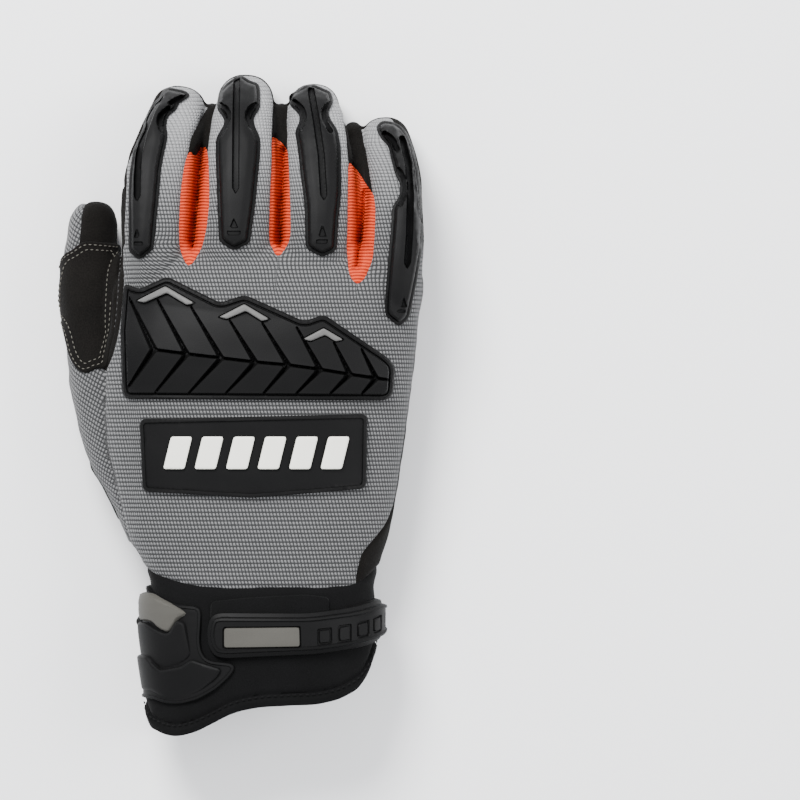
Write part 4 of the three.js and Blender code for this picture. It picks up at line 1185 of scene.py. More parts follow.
for name, part in panels.items():
    outer = shape
    if name == "cuff_hem":
        from_middle = np.abs(table[:, column["hem"]] - HEM_MIDDLE)
        proud = HEM_PROUD * np.exp(-(np.clip(HEM_HALF - from_middle, 0, 9) - HEM_HALF) ** 2)
        outer = shape + table[:, 3:6] * proud[:, None]
    used, part = compact(part)
    closed, closed_faces = walled(outer[used], inner_shape[used], part)
    piece_name, material, slot = PANEL_FINISH[name]
    make_piece(piece_name, closed, closed_faces, material, [name], PANEL_CREASE,
               np.vstack([cloth_map[used], cloth_map[used]]))
print("panels made:", len(panels))

# %% [markdown]
# ## Landing pieces on the glove
# The guards, the strap and the plates are flat designs moulded to the hand. Each is drawn
# on a fine flat grid, whose triangles are split along every edge of the design so that
# bevels and grooves stay crisp, and the grid is then let down on the skin.

# %% Skin to land on
STEEPEST = 0.45
landing = BVHTree.FromPolygons([tuple(p) for p in shape], [tuple(f) for f in all_faces])


def land_on_back(points):
    """Straight down on the back of the hand: where, and which way a height grows."""
    where = np.empty((len(points), 3))
    lift = np.zeros((len(points), 3))
    for i, (x, y) in enumerate(points):
        hit, normal, _, _ = landing.ray_cast(Vector((x, y, 120)), Vector((0, 0, -1)))
        if hit is None:
            hit, normal, _, _ = landing.find_nearest(Vector((x, y, 14)))
        where[i] = (x, y, hit[2])
        lift[i, 2] = 1 / max(normal[2], STEEPEST)
    return where, lift


# %% [markdown]
# The cuff is a plain oval tube, so the strap and the side guard are placed on it by two
# numbers: the distance round it from the middle of its top, and y.

# %% Round the cuff
CUFF_PROUD = 0.1


def cuff_ring(y):
    """Points and outward directions round the cuff at y, and the distance from its top."""
    left, right, base, top, power = (float(value) for value in palm_section(y))
    x, z = oval((right - left) / 2, (top - base) / 2, power, 720)
    order = (180 - np.arange(721)) % 720
    x, z = x[order], z[order]
    run = run_of(np.hypot(np.diff(x), np.diff(z)))
    tangent = np.stack([np.gradient(x), np.gradient(z)], 1)
    tangent /= np.maximum(np.linalg.norm(tangent, axis=1), 1e-9)[:, None]
    out = np.stack([-tangent[:, 1], tangent[:, 0]], 1)
    middle = np.array([(left + right) / 2 + SHIFT[0], (base + top) / 2])
    return np.stack([x, z], 1) + middle, out, run


RING_Y = np.linspace(-112, -50, 63)
RINGS = [cuff_ring(y - SHIFT[1]) for y in RING_Y]


def ring_at(y):
    """The ring that lies nearest to y."""
    return RINGS[int(np.clip(round((y - RING_Y[0]) / (RING_Y[1] - RING_Y[0])), 0, len(RINGS) - 1))]


def land_on_cuff(points):
    """On the cuff, from distance round it and y: where, and which way is out."""
    where = np.empty((len(points), 3))
    lift = np.zeros((len(points), 3))
    for i, (s, y) in enumerate(points):
        ring, out, run = ring_at(y)
        s = s % run[-1]
        where[i] = (np.interp(s, run, ring[:, 0]), y, np.interp(s, run, ring[:, 1]))
        lift[i, 0], lift[i, 2] = np.interp(s, run, out[:, 0]), np.interp(s, run, out[:, 1])
    lift /= np.linalg.norm(lift, axis=1)[:, None]
    return where + lift * CUFF_PROUD, lift


def round_from(x, y, below, height):
    """Distance round the cuff, from the middle of its top, of a point seen from above."""
    ring, out, run = ring_at(y)
    ring = ring + height * out
    quarter = len(run) // 4
    if below:
        part = slice(quarter, 3 * quarter + 1)
        return float(np.interp(-x, -ring[part, 0], run[part]))
    if x >= ring[0, 0]:
        return float(np.interp(x, ring[:quarter + 1, 0], run[:quarter + 1]))
    part = slice(3 * quarter, len(run))
    return float(np.interp(x, ring[part, 0], run[part])) - run[-1]


def wrap_outline(points, below=False, height=1.0):
    """An outline seen from above, or from below, laid round the cuff at a height over it."""
    return np.array([(round_from(x, y, below, height), y) for x, y in points])


# %% Moulded relief
MOULDED_CREASE = 38


def relief(name, outline, marks, rise, land, material, replaces, step, under=0.5, settle=3):
    """A thin piece over an outline.

    marks are pairs of a distance function and the values where the design has an edge;
    the first is the outline. rise turns the distances into heights.
    """
    low, high = outline.min(0) - 2 * step, outline.max(0) + 2 * step
    across, down = (np.arange(low[k], high[k] + step, step) for k in range(2))
    grid = np.stack(np.meshgrid(across, down, indexing="ij"), -1).reshape(-1, 2)
    rows = len(down)
    i, j = np.meshgrid(np.arange(len(across) - 1), np.arange(rows - 1), indexing="ij")
    a = (i * rows + j).ravel()
    odd = ((i + j) % 2).ravel() == 1
    b, c, d = a + rows, a + rows + 1, a + 1
    first = np.where(odd[:, None], np.stack([a, b, d], 1), np.stack([a, b, c], 1))
    second = np.where(odd[:, None], np.stack([b, c, d], 1), np.stack([a, c, d], 1))
    faces = np.vstack([first, second])
    sheet = np.column_stack([grid] + [measure(grid) for measure, _ in marks])
    locked = np.zeros(len(sheet), bool)
    for k, (_, values) in enumerate(marks):
        for value in values:
            sheet, faces, locked = split_on(sheet, faces, 2 + k, value, locked)
    near = (sheet[faces, 2] > -3 * step).all(1)
    used, faces = compact(faces[near])
    sheet = sheet[used]
    where, lift = land(sheet[:, :2])
    if land is land_on_back:
        placed = relaxed(np.hstack([where, lift]), faces, settle, 0.6, 0.0)
        where[:, 2] = placed[:, 2]
        lift = placed[:, 3:]
    heights = rise(*sheet[:, 2:].T)
    top = where + lift * heights[:, None]
    bottom = where - lift * under
    used, faces = compact(faces[side_of(sheet, faces, 2)])
    if land is land_on_cuff:
        faces = faces[:, ::-1]
    closed, closed_faces = walled(top[used], bottom[used], faces)
    return make_piece(name, closed, closed_faces, material, replaces, MOULDED_CREASE)


def ease(distance, points, heights):
    """Height read from a profile of distances and heights."""
    return np.interp(distance, points, heights)


# %% [markdown]
# ## Finger guards
# Each finger carries a long moulded guard: a thin dark flange that is sewn down, and a
# bevelled body with a long slot, a small arrow and a bar near the knuckle. At its waist,
# where the finger bends, the body draws in and leaves two hollows.

# %% Finger guards
FLANGE_RISE = ([0, 0.22, 1.0, 1.2, 1.5, 2.2, 4.5], [0.55, 1.1, 1.25, 1.15, 3.1, 3.8, 4.15])
SLOT_HALF, SLOT_WALL, SLOT_DEPTH = 1.4, 0.45, 2.6
SLOT_POINT, POINT_TAPER = 2.6, 0.55
ARROW_DEPTH, BAR_DEPTH = 1.1, 0.7
FINGER_GUARDS = {
    "index_guard": dict(
        outline=[(165, 84), (184, 88), (189.5, 93), (176.5, 103), (177, 107), (167, 116), (166, 126),
                 (168, 136), (164.5, 154), (162, 168), (160, 196), (156, 238), (155, 250),
                 (140.7, 261), (129.5, 252), (129.5, 224), (129, 196), (129.5, 175), (133, 148),
                 (142.5, 127), (142, 117), (149.5, 102), (158, 94), (159.5, 88.5)],
        slot=[(159, 95), (151, 112), (144, 133), (139.5, 155), (138.4, 180), (138.6, 204)],
        arrow=[(138.6, 227), (142.1, 239), (135.1, 239)],
        bar=[(135, 242.5), (145, 242.5), (145, 246.5), (135, 246.5)],
        hollows=[[(180, 96), (170, 102)], [(168, 108), (161, 113), (159, 121), (162, 131)]]),
    "middle_guard": dict(
        outline=[(236.7, 72), (226.4, 79), (216.4, 89), (216, 108), (222.7, 116.5), (224.6, 123),
                 (215.7, 138.5), (215.8, 155), (219.8, 242), (234.5, 251.4), (250.6, 244),
                 (255.7, 207), (260.4, 155), (260.6, 138.5), (254.3, 124.5), (253.5, 116.5),
                 (259.9, 107.7), (259.4, 89), (257.9, 80.5), (248.4, 78), (242.5, 73)],
        slot=[(236, 77), (236.4, 140), (236.7, 196)],
        arrow=[(235, 218), (239.7, 229.4), (230.3, 229.4)],
        bar=[(227.8, 231.8), (242.5, 231.8), (241.5, 236.6), (228.8, 236.6)],
        hollows=[[(220, 104), (227, 109), (229.5, 117), (225, 127)],
                 [(256, 104), (249, 109), (247, 117), (251.5, 127)]]),
    "ring_guard": dict(
        outline=[(309, 80), (288, 91.5), (287.6, 97.4), (289.5, 104), (298, 112), (299.8, 120),
                 (294.6, 131), (297.6, 148), (301, 177), (305, 207), (306, 249), (323, 258),
                 (337, 251), (338.6, 221), (341.6, 192), (341, 148), (338, 130), (329, 116),
                 (328.4, 110), (333.5, 100), (330.6, 89), (326, 87), (317, 83)],
        slot=[(310.5, 88), (316, 118), (321.5, 155), (324.7, 203)],
        arrow=[(323, 223.6), (327.4, 238), (318.6, 238)],
        bar=[(316.4, 240.4), (328.8, 240.4), (328.2, 245), (317, 245)],
        hollows=[[(293, 100), (301, 106), (304.5, 116), (301, 128)],
                 [(330, 102), (323, 109), (323.5, 118), (331, 131)]]),
    "little_guard": dict(
        outline=[(375.5, 125), (381, 118), (393, 119), (402, 124), (408, 132), (413.5, 147), (419, 171),
                 (422, 196), (424, 229), (422.5, 251), (417.5, 279), (413, 301), (409, 319),
                 (399.5, 327), (385, 315.5), (385.4, 296), (388, 262), (391, 229), (392, 208),
                 (400, 196), (400, 183), (395, 174.5), (391, 158), (388, 145), (379.6, 136)],
        slot=[(402, 138), (408.5, 165), (410.5, 196), (409.5, 236), (407, 271)],
        arrow=[(404, 297), (408, 308), (400, 308)],
        bar=[(396.6, 310), (406, 310), (405.4, 313.6), (397.4, 313.6)],
        hollows=[[(384, 132), (393, 139), (397, 150)], [(398, 170), (405, 180), (405.5, 194), (400, 205)]]),
}


def slot_distance(line, points):
    """Distance to the slot's middle line, growing past its lower end so that it ends in a point."""
    past = np.clip(line[:, 1].min() + SLOT_POINT - points[:, 1], 0, None)
    return line_distance(line, points) + POINT_TAPER * past


def guard_height(edge, slot, arrow, bar, hollow):
    height = np.minimum(ease(edge, *FLANGE_RISE), ease(hollow, [0.7, 1.25], [1.1, 9]))
    height = height - SLOT_DEPTH * ease(slot, [SLOT_HALF - SLOT_WALL, SLOT_HALF], [1, 0]) * (height > 1.3)
    height = height - ARROW_DEPTH * ease(arrow, [0, 0.4], [0, 1])
    return height - BAR_DEPTH * ease(bar, [0, 0.3], [0, 1])


for name, design in FINGER_GUARDS.items():
    outline = rounded(on_sheet(design["outline"]), 0.9)
    slot_line, arrow, bar = (on_sheet(design[key]) for key in ("slot", "arrow", "bar"))
    hollows = [rounded(on_sheet(line), 1.0, closed=False) for line in design["hollows"]]
    marks = [
        (inside(outline), FLANGE_RISE[0][:-1]),
        (lambda p, line=slot_line: slot_distance(line, p), [SLOT_HALF - SLOT_WALL, SLOT_HALF]),
        (inside(arrow), [0, 0.4]),
        (inside(bar), [0, 0.3]),
        (lambda p, lines=hollows: np.min([line_distance(line, p) for line in lines], axis=0), [0.7, 1.25]),
    ]
    piece = relief(name + "_moulding", outline, marks, guard_height, land_on_back, RUBBER, [name],
                   step=0.65)
    print(piece.name, len(piece.data.polygons), "faces")

# %% [markdown]
# ## Knuckle guard
# One wide moulding crosses the knuckles. Inside its raised border lie herringbone blocks,
# parted by grooves that run from a slanting spine and narrow towards their ends. Three
# pale chevrons are set in the upper blocks.

# %% Knuckle guard
KNUCKLE_OUTLINE = on_sheet([
    (124.5, 285), (129.4, 284.5), (139.6, 290), (168.5, 277), (221.5, 303.5), (246, 295.5),
    (305, 322), (324.6, 315), (388, 358), (395.3, 367), (393.2, 395), (386, 400.5), (128, 399),
    (123.3, 392.7), (121.2, 331)])
SPINE = on_sheet([(156, 350), (189, 354.4), (223.3, 358.5), (257, 362.5), (289.5, 365.4),
                  (321, 369.7), (350.3, 374.6), (376.3, 378.4), (392, 380.5)])
GROOVES_UP = on_sheet([(130.4, 297.8), (159.5, 300.8), (192.7, 307.4), (231.4, 321.2), (263.6, 323.6),
                       (297.7, 327.9), (334.6, 343.1), (361.7, 349.1)])
GROOVES_DOWN = on_sheet([(127.4, 391), (156, 394), (190, 394), (227, 394), (264.5, 394), (297, 394),
                         (330.5, 394), (362, 394)])
WIDE_GROOVE, NARROW_GROOVE = 1.15, 0.5


def chevron(left, top, right):
    """The six corners of a chevron from its left end, its peak and its right end."""
    (lx, ly), (tx, ty), (rx, ry) = left, top, right
    return on_sheet([left, top, right, (rx - 8, ry + 1.8), (tx + 1.5, ty + 6.8), (lx + 8, ly + 1.8)])


CHEVRONS = [chevron((138, 301.5), (167, 287), (196.5, 304)),
            chevron((220.5, 318), (245.7, 305), (271, 320)),
            chevron((303.7, 339.9), (324.4, 328.8), (344, 340.3))]


def groove_distance(points):
    """0 at the side of the nearest groove, -1 along its middle."""
    best = line_distance(SPINE, points) / 0.7 - 1
    for i, start in enumerate(SPINE[:8]):
        for end in (GROOVES_UP[i], GROOVES_DOWN[i]):
            way = end - start
            t = np.clip(((points - start) @ way) / (way @ way), 0, 1)
            half = WIDE_GROOVE * (1.25 if i == 0 else 1) * (1 - t) + NARROW_GROOVE * t
            best = np.minimum(best, np.hypot(*(points - start - t[:, None] * way).T) / half - 1)
    return best


def knuckle_height(edge, groove, chevron_edge, spine):
    border = ease(edge, [0, 0.3, 0.75, 1.5, 1.9, 2.25], [0.8, 1.75, 2.05, 1.95, 1.3, 1.35])
    block = 2.7 + 2.3 * np.clip(1 - spine / 17, 0, 1)
    field = np.where(edge > 1.95, border + (block - 1.3) * ease(edge, [2.0, 2.5], [0, 1]), border)
    field = field - (field - 1.1) * ease(groove, [-0.8, 0], [0.95, 0]) * (edge > 1.9)
    return field - (field - 2.2) * ease(chevron_edge, [-0.45, -0.1], [0, 1])


outline = rounded(KNUCKLE_OUTLINE, 1.2)
relief("knuckle_moulding", outline, [
    (inside(outline), [0, 0.3, 0.75, 1.5, 1.9, 2.0, 2.5]),
    (groove_distance, [-0.8, 0]),
    (inside(*CHEVRONS), [-0.45, -0.1]),
    (lambda p: line_distance(SPINE, p), []),
], knuckle_height, land_on_back, RUBBER, ["knuckle_guard"], step=0.62, settle=14)

for i, corners in enumerate(CHEVRONS):
    outline = rounded(corners, 0.35)
    relief(f"chevron_inlay_{i + 1}", outline, [(inside(outline), [0, 0.15, 0.45])],
           lambda edge: ease(edge, [0, 0.15, 0.45, 1], [3.6, 4.25, 4.5, 4.55]), land_on_back,
           CHEVRON_RUBBER, [f"chevron_{i + 1}"], step=0.5, under=-1.8, settle=10)
print("knuckle guard and", len(CHEVRONS), "chevrons")

# %% [markdown]
# ## Plate on the back of the hand
# A framed rubber plate is moulded on the knit. Six plain slanted bars fill its field.

# %% Plate and bars
BADGE = rounded(on_sheet([(141, 419), (367.8, 414), (366.5, 488), (254, 497), (144, 491)]), 1.3)
relief("back_plate", BADGE, [(inside(BADGE), [0, 0.3, 1.35, 1.6])],
       lambda edge: ease(edge, [0, 0.3, 0.7, 1.35, 1.6], [0.9, 2.2, 2.35, 2.25, 1.55]),
       land_on_back, RUBBER, ["badge_plate"], step=1.0, settle=10)
BAR_COUNT = 6
BAR_LEFT, BAR_STEP, BAR_WIDE = -29.5, 11.8, 8.0
BAR_LOW, BAR_HIGH, BAR_LEAN = -24.4, -12.2, 3.0
for i in range(BAR_COUNT):
    x = BAR_LEFT + i * BAR_STEP
    bar = rounded(np.array([(x, BAR_LOW), (x + BAR_WIDE, BAR_LOW), (x + BAR_WIDE + BAR_LEAN, BAR_HIGH),
                            (x + BAR_LEAN, BAR_HIGH)]) + SHIFT[:2], 0.5)
    relief(f"plate_bar_{i + 1}", bar, [(inside(bar), [0, 0.12, 0.5])],
           lambda edge: ease(edge, [0, 0.12, 0.5, 1], [2.3, 2.65, 2.85, 2.9]), land_on_back,
           WHITE_RUBBER, [f"badge_bar_{i + 1}"], step=0.8, under=-1.2, settle=10)
print("back plate and", BAR_COUNT, "bars")

# %% [markdown]
# ## Wrist strap
# The strap starts on the back of the wrist, goes round the little-finger side and ends on
# the palm. It is drawn unrolled: across is the distance round the cuff.

# %% Strap
STRAP_ON_BACK = on_sheet([
    (384, 600), (374.8, 599), (350, 606), (309, 611), (216, 610.5), (209.5, 620), (208, 638),
    (212.7, 651), (221.8, 657), (260, 655), (317.4, 652.7), (363.3, 646), (384, 637)])
STRAP_ON_PALM = on_sheet([
    (346, 634), (230, 645), (180, 650), (150, 643), (134, 622), (150, 605), (163, 604), (235, 602),
    (345, 598)])
strap = rounded(np.vstack([wrap_outline(STRAP_ON_BACK), wrap_outline(STRAP_ON_PALM, below=True)]), 2.2)
SQUARES = [[(318.5, 627.4), (332.3, 626), (332.3, 641.6), (318.5, 643)],
           [(338.6, 624.5), (351.8, 622.6), (351.8, 639.4), (338.6, 641.2)],
           [(357.6, 621.7), (369.6, 619), (369.6, 634.8), (357.6, 637.2)],
           [(373.7, 617), (381.7, 614.5), (381.7, 630.5), (373.7, 633)],
           [(385, 612.5), (389.2, 610.5), (389.2, 626.5), (385, 628.5)]]
squares = [wrap_outline(on_sheet(square), height=4.0) for square in SQUARES]
PLATE = on_sheet([(225.5, 626), (300.5, 625.3), (301, 644.6), (225.5, 645.6)])
PAD = on_sheet([(212, 600), (250, 596), (306, 593), (330, 596), (330, 616), (240, 624), (212, 624)])
plate_corners = wrap_outline(PLATE, height=3.8)
plate = rounded(plate_corners, 0.5)
pad = rounded(wrap_outline(PAD), 1.0)


def strap_height(edge, square, plate):
    height = ease(edge, [0, 0.35, 1.3, 1.7, 2.2, 3.0, 3.4], [0.9, 2.0, 2.3, 2.5, 4.3, 4.5, 3.9])
    height = height - 0.8 * ease(square, [-0.2, 0.1, 0.5, 0.8], [0, 1, 1, 0])
    return np.where(plate > -0.5, np.minimum(height, 2.9 + ease(plate, [-0.5, -0.15], [1.0, 0])), height)


relief("strap_moulding", strap, [
    (inside(strap), [0, 0.35, 1.3, 1.7, 2.2, 3.0, 3.4]),
    (inside(*squares), [-0.2, 0.1, 0.5, 0.8]),
    (inside(plate_corners), [-0.5, -0.15]),
], strap_height, land_on_cuff, RUBBER, ["wrist_strap"], step=0.85, under=0.3)
relief("bare_plate", plate, [(inside(plate), [0, 0.2])],
       lambda edge: ease(edge, [0, 0.2, 1], [3.4, 3.75, 3.8]), land_on_cuff, PALE_RUBBER,
       ["id_plate"], step=0.9, under=-2.2)
relief("hook_pad", pad, [(inside(pad), [0, 0.4])],
       lambda edge: ease(edge, [0, 0.4, 1], [0.4, 1.1, 1.2]), land_on_cuff, STRETCH,
       ["loop_pad"], step=0.9)

# %% [markdown]
# ## Guard at the side of the wrist
# Three scales overlap like shingles over the thumb side of the wrist; each is thickest at
# its upper edge and thins towards the next. The uppermost is pale.

# %% Side guard
LOW_Z = 16.7


def low_edge(y):
    """Distance round the cuff to the lower edge of the side guard, at y."""
    ring, _, run = ring_at(y)
    part = slice(len(run) // 2, 3 * (len(run) // 4) + 1)
    return float(np.interp(LOW_Z, ring[part, 1], run[part])) - run[-1]


def side_outline(contour, height=1.0):
    """A contour on the back, closed by the guard's lower edge on the thumb side."""
    points = wrap_outline(on_sheet(contour), height=height)
    low, high = points[-1, 1], points[0, 1]
    return np.vstack([points, [(low_edge(low), low), (low_edge(high), high)]])


SIDE = rounded(side_outline([
    (147, 586), (155.3, 595.6), (173.6, 602.5), (199, 605), (202.9, 609), (202.3, 624),
    (201.2, 640), (203.5, 652), (210.4, 658.7), (233.3, 661), (237.3, 665.6), (231, 674.8),
    (217.3, 687.4), (199, 697.8), (181.7, 702.4), (167.9, 702.4), (153, 698)]), 1.2)
SCALES = [
    ([(146, 622), (158, 629), (167, 632.5), (171, 629), (178, 617.8), (186, 621), (190.8, 649.6),
      (190, 655), (181.7, 661), (164.4, 666.8), (150, 664)], (-81.6, -99.0)),
    ([(147, 655), (160, 669), (182, 664.5), (193, 657), (199, 659.5), (224, 667), (217, 677),
      (201.2, 688.6), (181.7, 696.6), (164.4, 696.6), (150, 690)], (-95.0, -110.5)),
]
GREY_SCALE = [(146, 592.5), (151, 593.3), (175.9, 604.8), (187.4, 612.8), (178.2, 617.4),
              (170.2, 628.9), (166.7, 631.8), (156.4, 627.7), (150, 621)]
scale_shapes = [rounded(side_outline(contour, 2.5), 0.8) for contour, _ in SCALES]


def scales_height(edge, y, *scales):
    height = ease(edge, [0, 0.3, 1.1, 1.4], [0.5, 1.25, 1.35, 0.9])
    for depth, (_, (top, low)) in zip(scales, SCALES):
        full = 1.1 + 2.2 * np.clip((y - low) / (top - low), 0, 1)
        raised = ease(depth, [0, 0.35, 1.0, 4.0], [0.0, 0.7, 0.95, 1.0])
        height = np.maximum(height, np.where(depth > 0, 0.9 + (full - 0.9) * raised, 0))
    return height


def y_of(points):
    return points[:, 1]


relief("side_moulding", SIDE, [(inside(SIDE), [0, 0.3, 1.1, 1.4]), (y_of, [])] + [
    (inside(scale), [0, 0.35, 1.0]) for scale in scale_shapes],
    scales_height, land_on_cuff, RUBBER, ["side_guard"], step=0.8)
grey = rounded(side_outline(GREY_SCALE, 3.0), 0.8)
relief("grey_scale", grey, [(inside(grey), [0, 0.35, 0.9]), (y_of, [])],
       lambda edge, y: (ease(edge, [0, 0.35, 0.9, 4], [0.6, 1.5, 1.8, 2.0])
                        + 1.5 * np.clip((y + 87) / 14, 0, 1) * ease(edge, [0, 0.9], [0.3, 1])),
       land_on_cuff, PALE_RUBBER, ["side_guard_scale"], step=0.8, under=-0.9)
print("strap and side guard made")

# %% [markdown]
# ## Patches sewn on
# The suede patches follow the glove all the way round its sides, so they are cut out of
# the skin itself and lifted: the same splitting as for the panels, then a height that
# rolls down at the edge as a cut edge does.

# %% Patches
EDGE_ROLL = ([0, 0.35, 0.9], [0.25, 0.95, 1.1])
PATCH_UNDER = 0.35
PATCH_CREASE = 60


def patch(name, faces, distance, profile, material, replaces):
    """The skin inside a line, lifted to a profile of distances and heights."""
    near = (distance[faces] > -2.5).all(1)
    used, faces = compact(faces[near])
    sheet = np.column_stack([table[used, :8], distance[used]])
    held = np.zeros(len(sheet), bool)
    for value in profile[0]:
        sheet, faces, held = split_on(sheet, faces, 8, value, held)
    lift = sheet[:, 3:6] * np.interp(sheet[:, 8], *profile)[:, None]
    used, faces = compact(faces[side_of(sheet, faces, 8)])
    closed, closed_faces = walled((sheet[:, :3] + lift)[used],
                                  (sheet[:, :3] - PATCH_UNDER * sheet[:, 3:6])[used], faces)
    flat = sheet[used, 6:8]
    make_piece(name, closed, closed_faces, material, replaces, PATCH_CREASE,
               np.vstack([flat, flat]))


plan = table[:, :2]
SADDLE = rounded(on_sheet([
    (64, 252), (69.6, 250.2), (78, 243.2), (83.7, 240.4), (106, 242), (119, 243), (117.5, 271),
    (116, 313), (114.5, 333), (110, 348.4), (106, 367.4), (101.9, 368.8), (96.3, 368),
    (90.7, 371.6), (84.4, 373.7), (76.7, 369.5), (71, 361), (66.8, 349.8), (63.3, 334.4),
    (59.5, 325), (52, 317.5), (52, 285.3), (56, 262)]), 1.5)
saddle = np.minimum(inside_distance(SADDLE, plan), table[:, 2] - thumb_middle(table[:, 1])[1] + 3.5)
thumb_faces = np.vstack([panels["thumb_back_panel"], panels["thumb_palm_panel"]])
patch("saddle_suede", thumb_faces, saddle, EDGE_ROLL, SUEDE, ["thumb_saddle_patch"])

UPPER_GRIP = np.array([(.3, .3), (.2, .4), (.111, .33), (.006, .4), (-.104, .32), (-.22, .4), (-.295, .32),
                       (-.3, .254), (-.277, .195), (-.205, .165), (-.053, .15), (.075, .143),
                       (.228, .15), (.32, .12), (.35, .2)])
LOWER_GRIP = np.array([(.36, -.27), (.305, -.34), (.152, -.39), (.024, -.385), (-.104, -.33),
                       (-.201, -.202), (-.231, -.074), (-.231, .045), (-.18, .074), (.141, .069),
                       (.192, .045), (.18, 0), (.049, -.069), (-.012, -.108), (-.017, -.143),
                       (.024, -.197), (.131, -.227), (.264, -.173)])
HEEL = np.array([(-.36, .03), (-.46, -.03), (-.5, -.09), (-.5, -.19), (-.43, -.33), (-.34, -.42),
                 (-.28, -.4), (-.31, -.26), (-.34, -.1)])


def on_palm(shares):
    """Distance to an outline given in shares of the palm's width and length, positive inside."""
    return inside_distance(rounded(shares * [PALM_WIDTH, PALM_LENGTH] + SHIFT[:2], 4.0, 3), plan)


def facing_down(faces):
    return faces[(table[:, 5] < 0.1)[faces].all(1)]


palm_faces = facing_down(panels["palm_panel"])
root_faces = facing_down(np.vstack([panels["palm_panel"], thumb_faces]))
upper_grip, lower_grip = on_palm(UPPER_GRIP), on_palm(LOWER_GRIP)
patch("upper_grip", palm_faces, upper_grip, EDGE_ROLL, GRIP, ["palm_grip_patch_upper"])
patch("lower_grip", palm_faces, lower_grip, EDGE_ROLL, GRIP, ["palm_grip_patch_lower"])
heel = np.minimum(on_palm(HEEL), 20 - table[:, 2])
patch("heel_suede", root_faces, heel, EDGE_ROLL, SUEDE, ["thumb_heel_patch"])

TAG_Y, TAG_LENGTH, TAG_LOW, TAG_HIGH = -9.9, 17.0, 5.6, 16.6
tag_field = np.minimum(TAG_LENGTH / 2 - np.abs(table[:, 1] - TAG_Y),
                       np.minimum(table[:, 2] - TAG_LOW, TAG_HIGH - table[:, 2]))
tag_field = np.where(table[:, 0] > 40, tag_field, -9)
patch("side_label", panels["palm_panel"], tag_field, ([0, 0.3], [0.7, 0.95]), STRETCH, ["side_tag"])
print("patches made")

# %% [markdown]
# ## Stitching
# Thread is the smallest thing that the eye looks for. A Geometry Nodes tree walks each
# sewn line, drops one short thread every stitch and turns it along the line.

# %% Stitch tree
LINE_STEP = 0.7


def stitch_tree():
    tree = bpy.data.node_groups.new("stitching", "GeometryNodeTree")
    face = tree.interface
    face.new_socket("Line", in_out="INPUT", socket_type="NodeSocketGeometry")
    for name, value in (("Pitch", 0.0025), ("Length", 0.0018), ("Thickness", 0.0005)):
        face.new_socket(name, in_out="INPUT", socket_type="NodeSocketFloat").default_value = value
    face.new_socket("Thread", in_out="INPUT", socket_type="NodeSocketMaterial")
    face.new_socket("Stitches", in_out="OUTPUT", socket_type="NodeSocketGeometry")
    nodes, links = tree.nodes, tree.links
    enter, leave = nodes.new("NodeGroupInput"), nodes.new("NodeGroupOutput")
    resample = nodes.new("GeometryNodeResampleCurve")
    resample.mode = "LENGTH"
    to_points = nodes.new("GeometryNodeInstanceOnPoints")
    bead = nodes.new("GeometryNodeMeshUVSphere")
    bead.inputs["Segments"].default_value = 8
    bead.inputs["Rings"].default_value = 5
    bead.inputs["Radius"].default_value = 0.5
    size = nodes.new("ShaderNodeCombineXYZ")
    stretch = nodes.new("GeometryNodeTransform")
    tangent = nodes.new("GeometryNodeInputTangent")
    turn = nodes.new("FunctionNodeAlignRotationToVector")
    turn.axis = "X"
    realize = nodes.new("GeometryNodeRealizeInstances")
    finish = nodes.new("GeometryNodeSetMaterial")
    for source, output, target, socket in (
            (enter, "Line", resample, "Curve"), (enter, "Pitch", resample, "Length"),
            (resample, "Curve", to_points, "Points"), (enter, "Length", size, "X"),
            (enter, "Thickness", size, "Y"), (enter, "Thickness", size, "Z"),
            (bead, "Mesh", stretch, "Geometry"), (size, "Vector", stretch, "Scale"),
            (stretch, "Geometry", to_points, "Instance"), (tangent, "Tangent", turn, "Vector"),
            (turn, "Rotation", to_points, "Rotation"), (to_points, "Instances", realize, "Geometry"),
            (realize, "Geometry", finish, "Geometry"), (enter, "Thread", finish, "Material"),
            (finish, "Geometry", leave, "Stitches")):
        links.new(source.outputs[output], target.inputs[socket])
    return tree


STITCHING = stitch_tree()
SOCKETS = {item.name: item.identifier for item in STITCHING.interface.items_tree}


def sew(name, lines, thread, pitch, length, thickness):
    """Stitches along lines of points, as one piece; pitch, length and thickness in millimetres."""
    curve = bpy.data.curves.new(name, "CURVE")
    curve.dimensions = "3D"
    for line in lines:
        spline = curve.splines.new("POLY")
        spline.points.add(len(line) - 1)
        flat = np.column_stack([np.asarray(line) * MM, np.ones(len(line))])
        spline.points.foreach_set("co", flat.astype(np.float32).ravel())
    carrier = bpy.data.objects.new(name + "_line", curve)
    scene.collection.objects.link(carrier)
    modifier = carrier.modifiers.new("stitching", "NODES")
    modifier.node_group = STITCHING
    for socket, value in (("Pitch", pitch * MM), ("Length", length * MM),
                          ("Thickness", thickness * MM), ("Thread", thread)):
        modifier[SOCKETS[socket]] = value
    mesh = applied(carrier)
    mesh.polygons.foreach_set("use_smooth", np.ones(len(mesh.polygons), bool))
    ride_on_root(name, mesh)
    print(name, len(mesh.polygons), "faces")


def spread(line):
    """Points at even steps along a line."""
    run = run_of(np.linalg.norm(np.diff(line, axis=0), axis=1))
    at = np.linspace(0, run[-1], max(2, int(run[-1] / LINE_STEP)))
    return np.stack([np.interp(at, run, line[:, k]) for k in range(3)], 1)


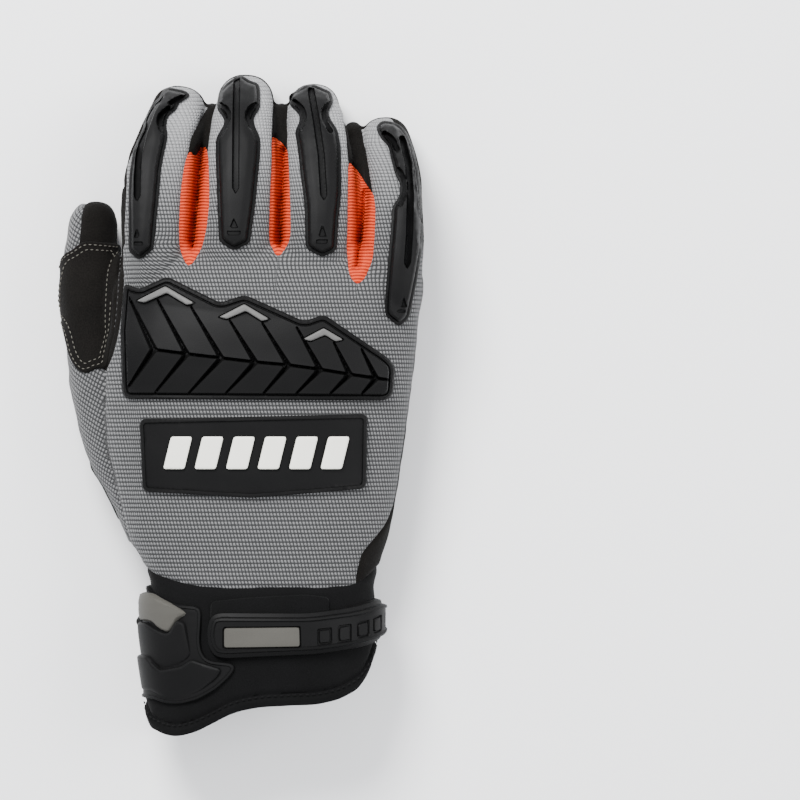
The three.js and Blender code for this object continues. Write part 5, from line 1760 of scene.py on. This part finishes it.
def trace(faces, field, value, lift, keep=None):
    """Lines over the skin where a number kept at its points passes a value.

    lift is the height over the skin; keep says which points of a line are wanted.
    """
    near = (np.abs(field[faces] - value) < 3).all(1)
    signed = field - value
    signed = np.where(signed == 0, 1e-6, signed)
    joined = {}
    place = {}
    for face in faces[near]:
        ends = []
        for i, j in ((0, 1), (1, 2), (2, 0)):
            a, b = sorted((int(face[i]), int(face[j])))
            if signed[a] * signed[b] < 0:
                t = signed[a] / (signed[a] - signed[b])
                row = table[a, :6] * (1 - t) + table[b, :6] * t
                place[a, b] = row[:3] + lift * row[3:6]
                ends.append((a, b))
        if len(ends) == 2:
            joined.setdefault(ends[0], []).append(ends[1])
            joined.setdefault(ends[1], []).append(ends[0])
    lines = []
    ends_first = [key for key, beside in joined.items() if len(beside) == 1] + list(joined)
    walked = set()
    for start in ends_first:
        if start in walked:
            continue
        path, here = [start], start
        walked.add(start)
        while True:
            ahead = [key for key in joined[here] if key not in walked]
            if not ahead:
                break
            here = ahead[0]
            walked.add(here)
            path.append(here)
        closed = len(joined[start]) == 2
        lines.append(np.array([place[key] for key in path + ([start] if closed else [])]))
    if keep:
        kept = []
        for line in lines:
            inside = keep(line)
            cuts = np.flatnonzero(np.diff(inside.astype(int))) + 1
            kept += [part for part in np.split(line, cuts) if keep(part[:1])[0]]
        lines = kept
    return [spread(line) for line in lines if len(line) > 6]


# %% Rows of stitches
def beside_crook(line):
    """Where the saddle's edge lies on the thumb, and not in its crook."""
    return (line[:, 0] < -49.6) | ((line[:, 1] > 56) & (line[:, 0] < -47.5))


saddle_rows = []
for depth in (1.5, 3.4):
    saddle_rows += trace(thumb_faces, saddle, depth, 1.3, beside_crook)
sew("saddle_stitches", saddle_rows, PALE_THREAD, 2.0, 1.35, 0.45)
sew("heel_stitches", trace(root_faces, heel, 1.8, 1.2), PALE_THREAD, 2.4, 1.7, 0.45)
grip_rows = []
for grip in (upper_grip, lower_grip):
    for depth in (1.3, 3.6, 5.9):
        grip_rows += trace(palm_faces, grip, depth, 1.2)
sew("grip_stitches", grip_rows, ORANGE_THREAD, 2.3, 1.7, 0.5)
crook_rows = trace(thumb_faces, table[:, column["thumb"]], 1.3, 0.1,
                   lambda line: (line[:, 1] > 14) & (line[:, 2] > 20))
sew("crook_stitches", crook_rows, GREY_THREAD, 2.2, 1.2, 0.38)
hem_rows = trace(np.vstack([panels["cuff"], panels["cuff_hem"]]), table[:, column["hem"]], -0.5, 0.45)
sew("hem_stitches", hem_rows, BLACK_THREAD, 2.4, 1.7, 0.45)
print("stitching done")
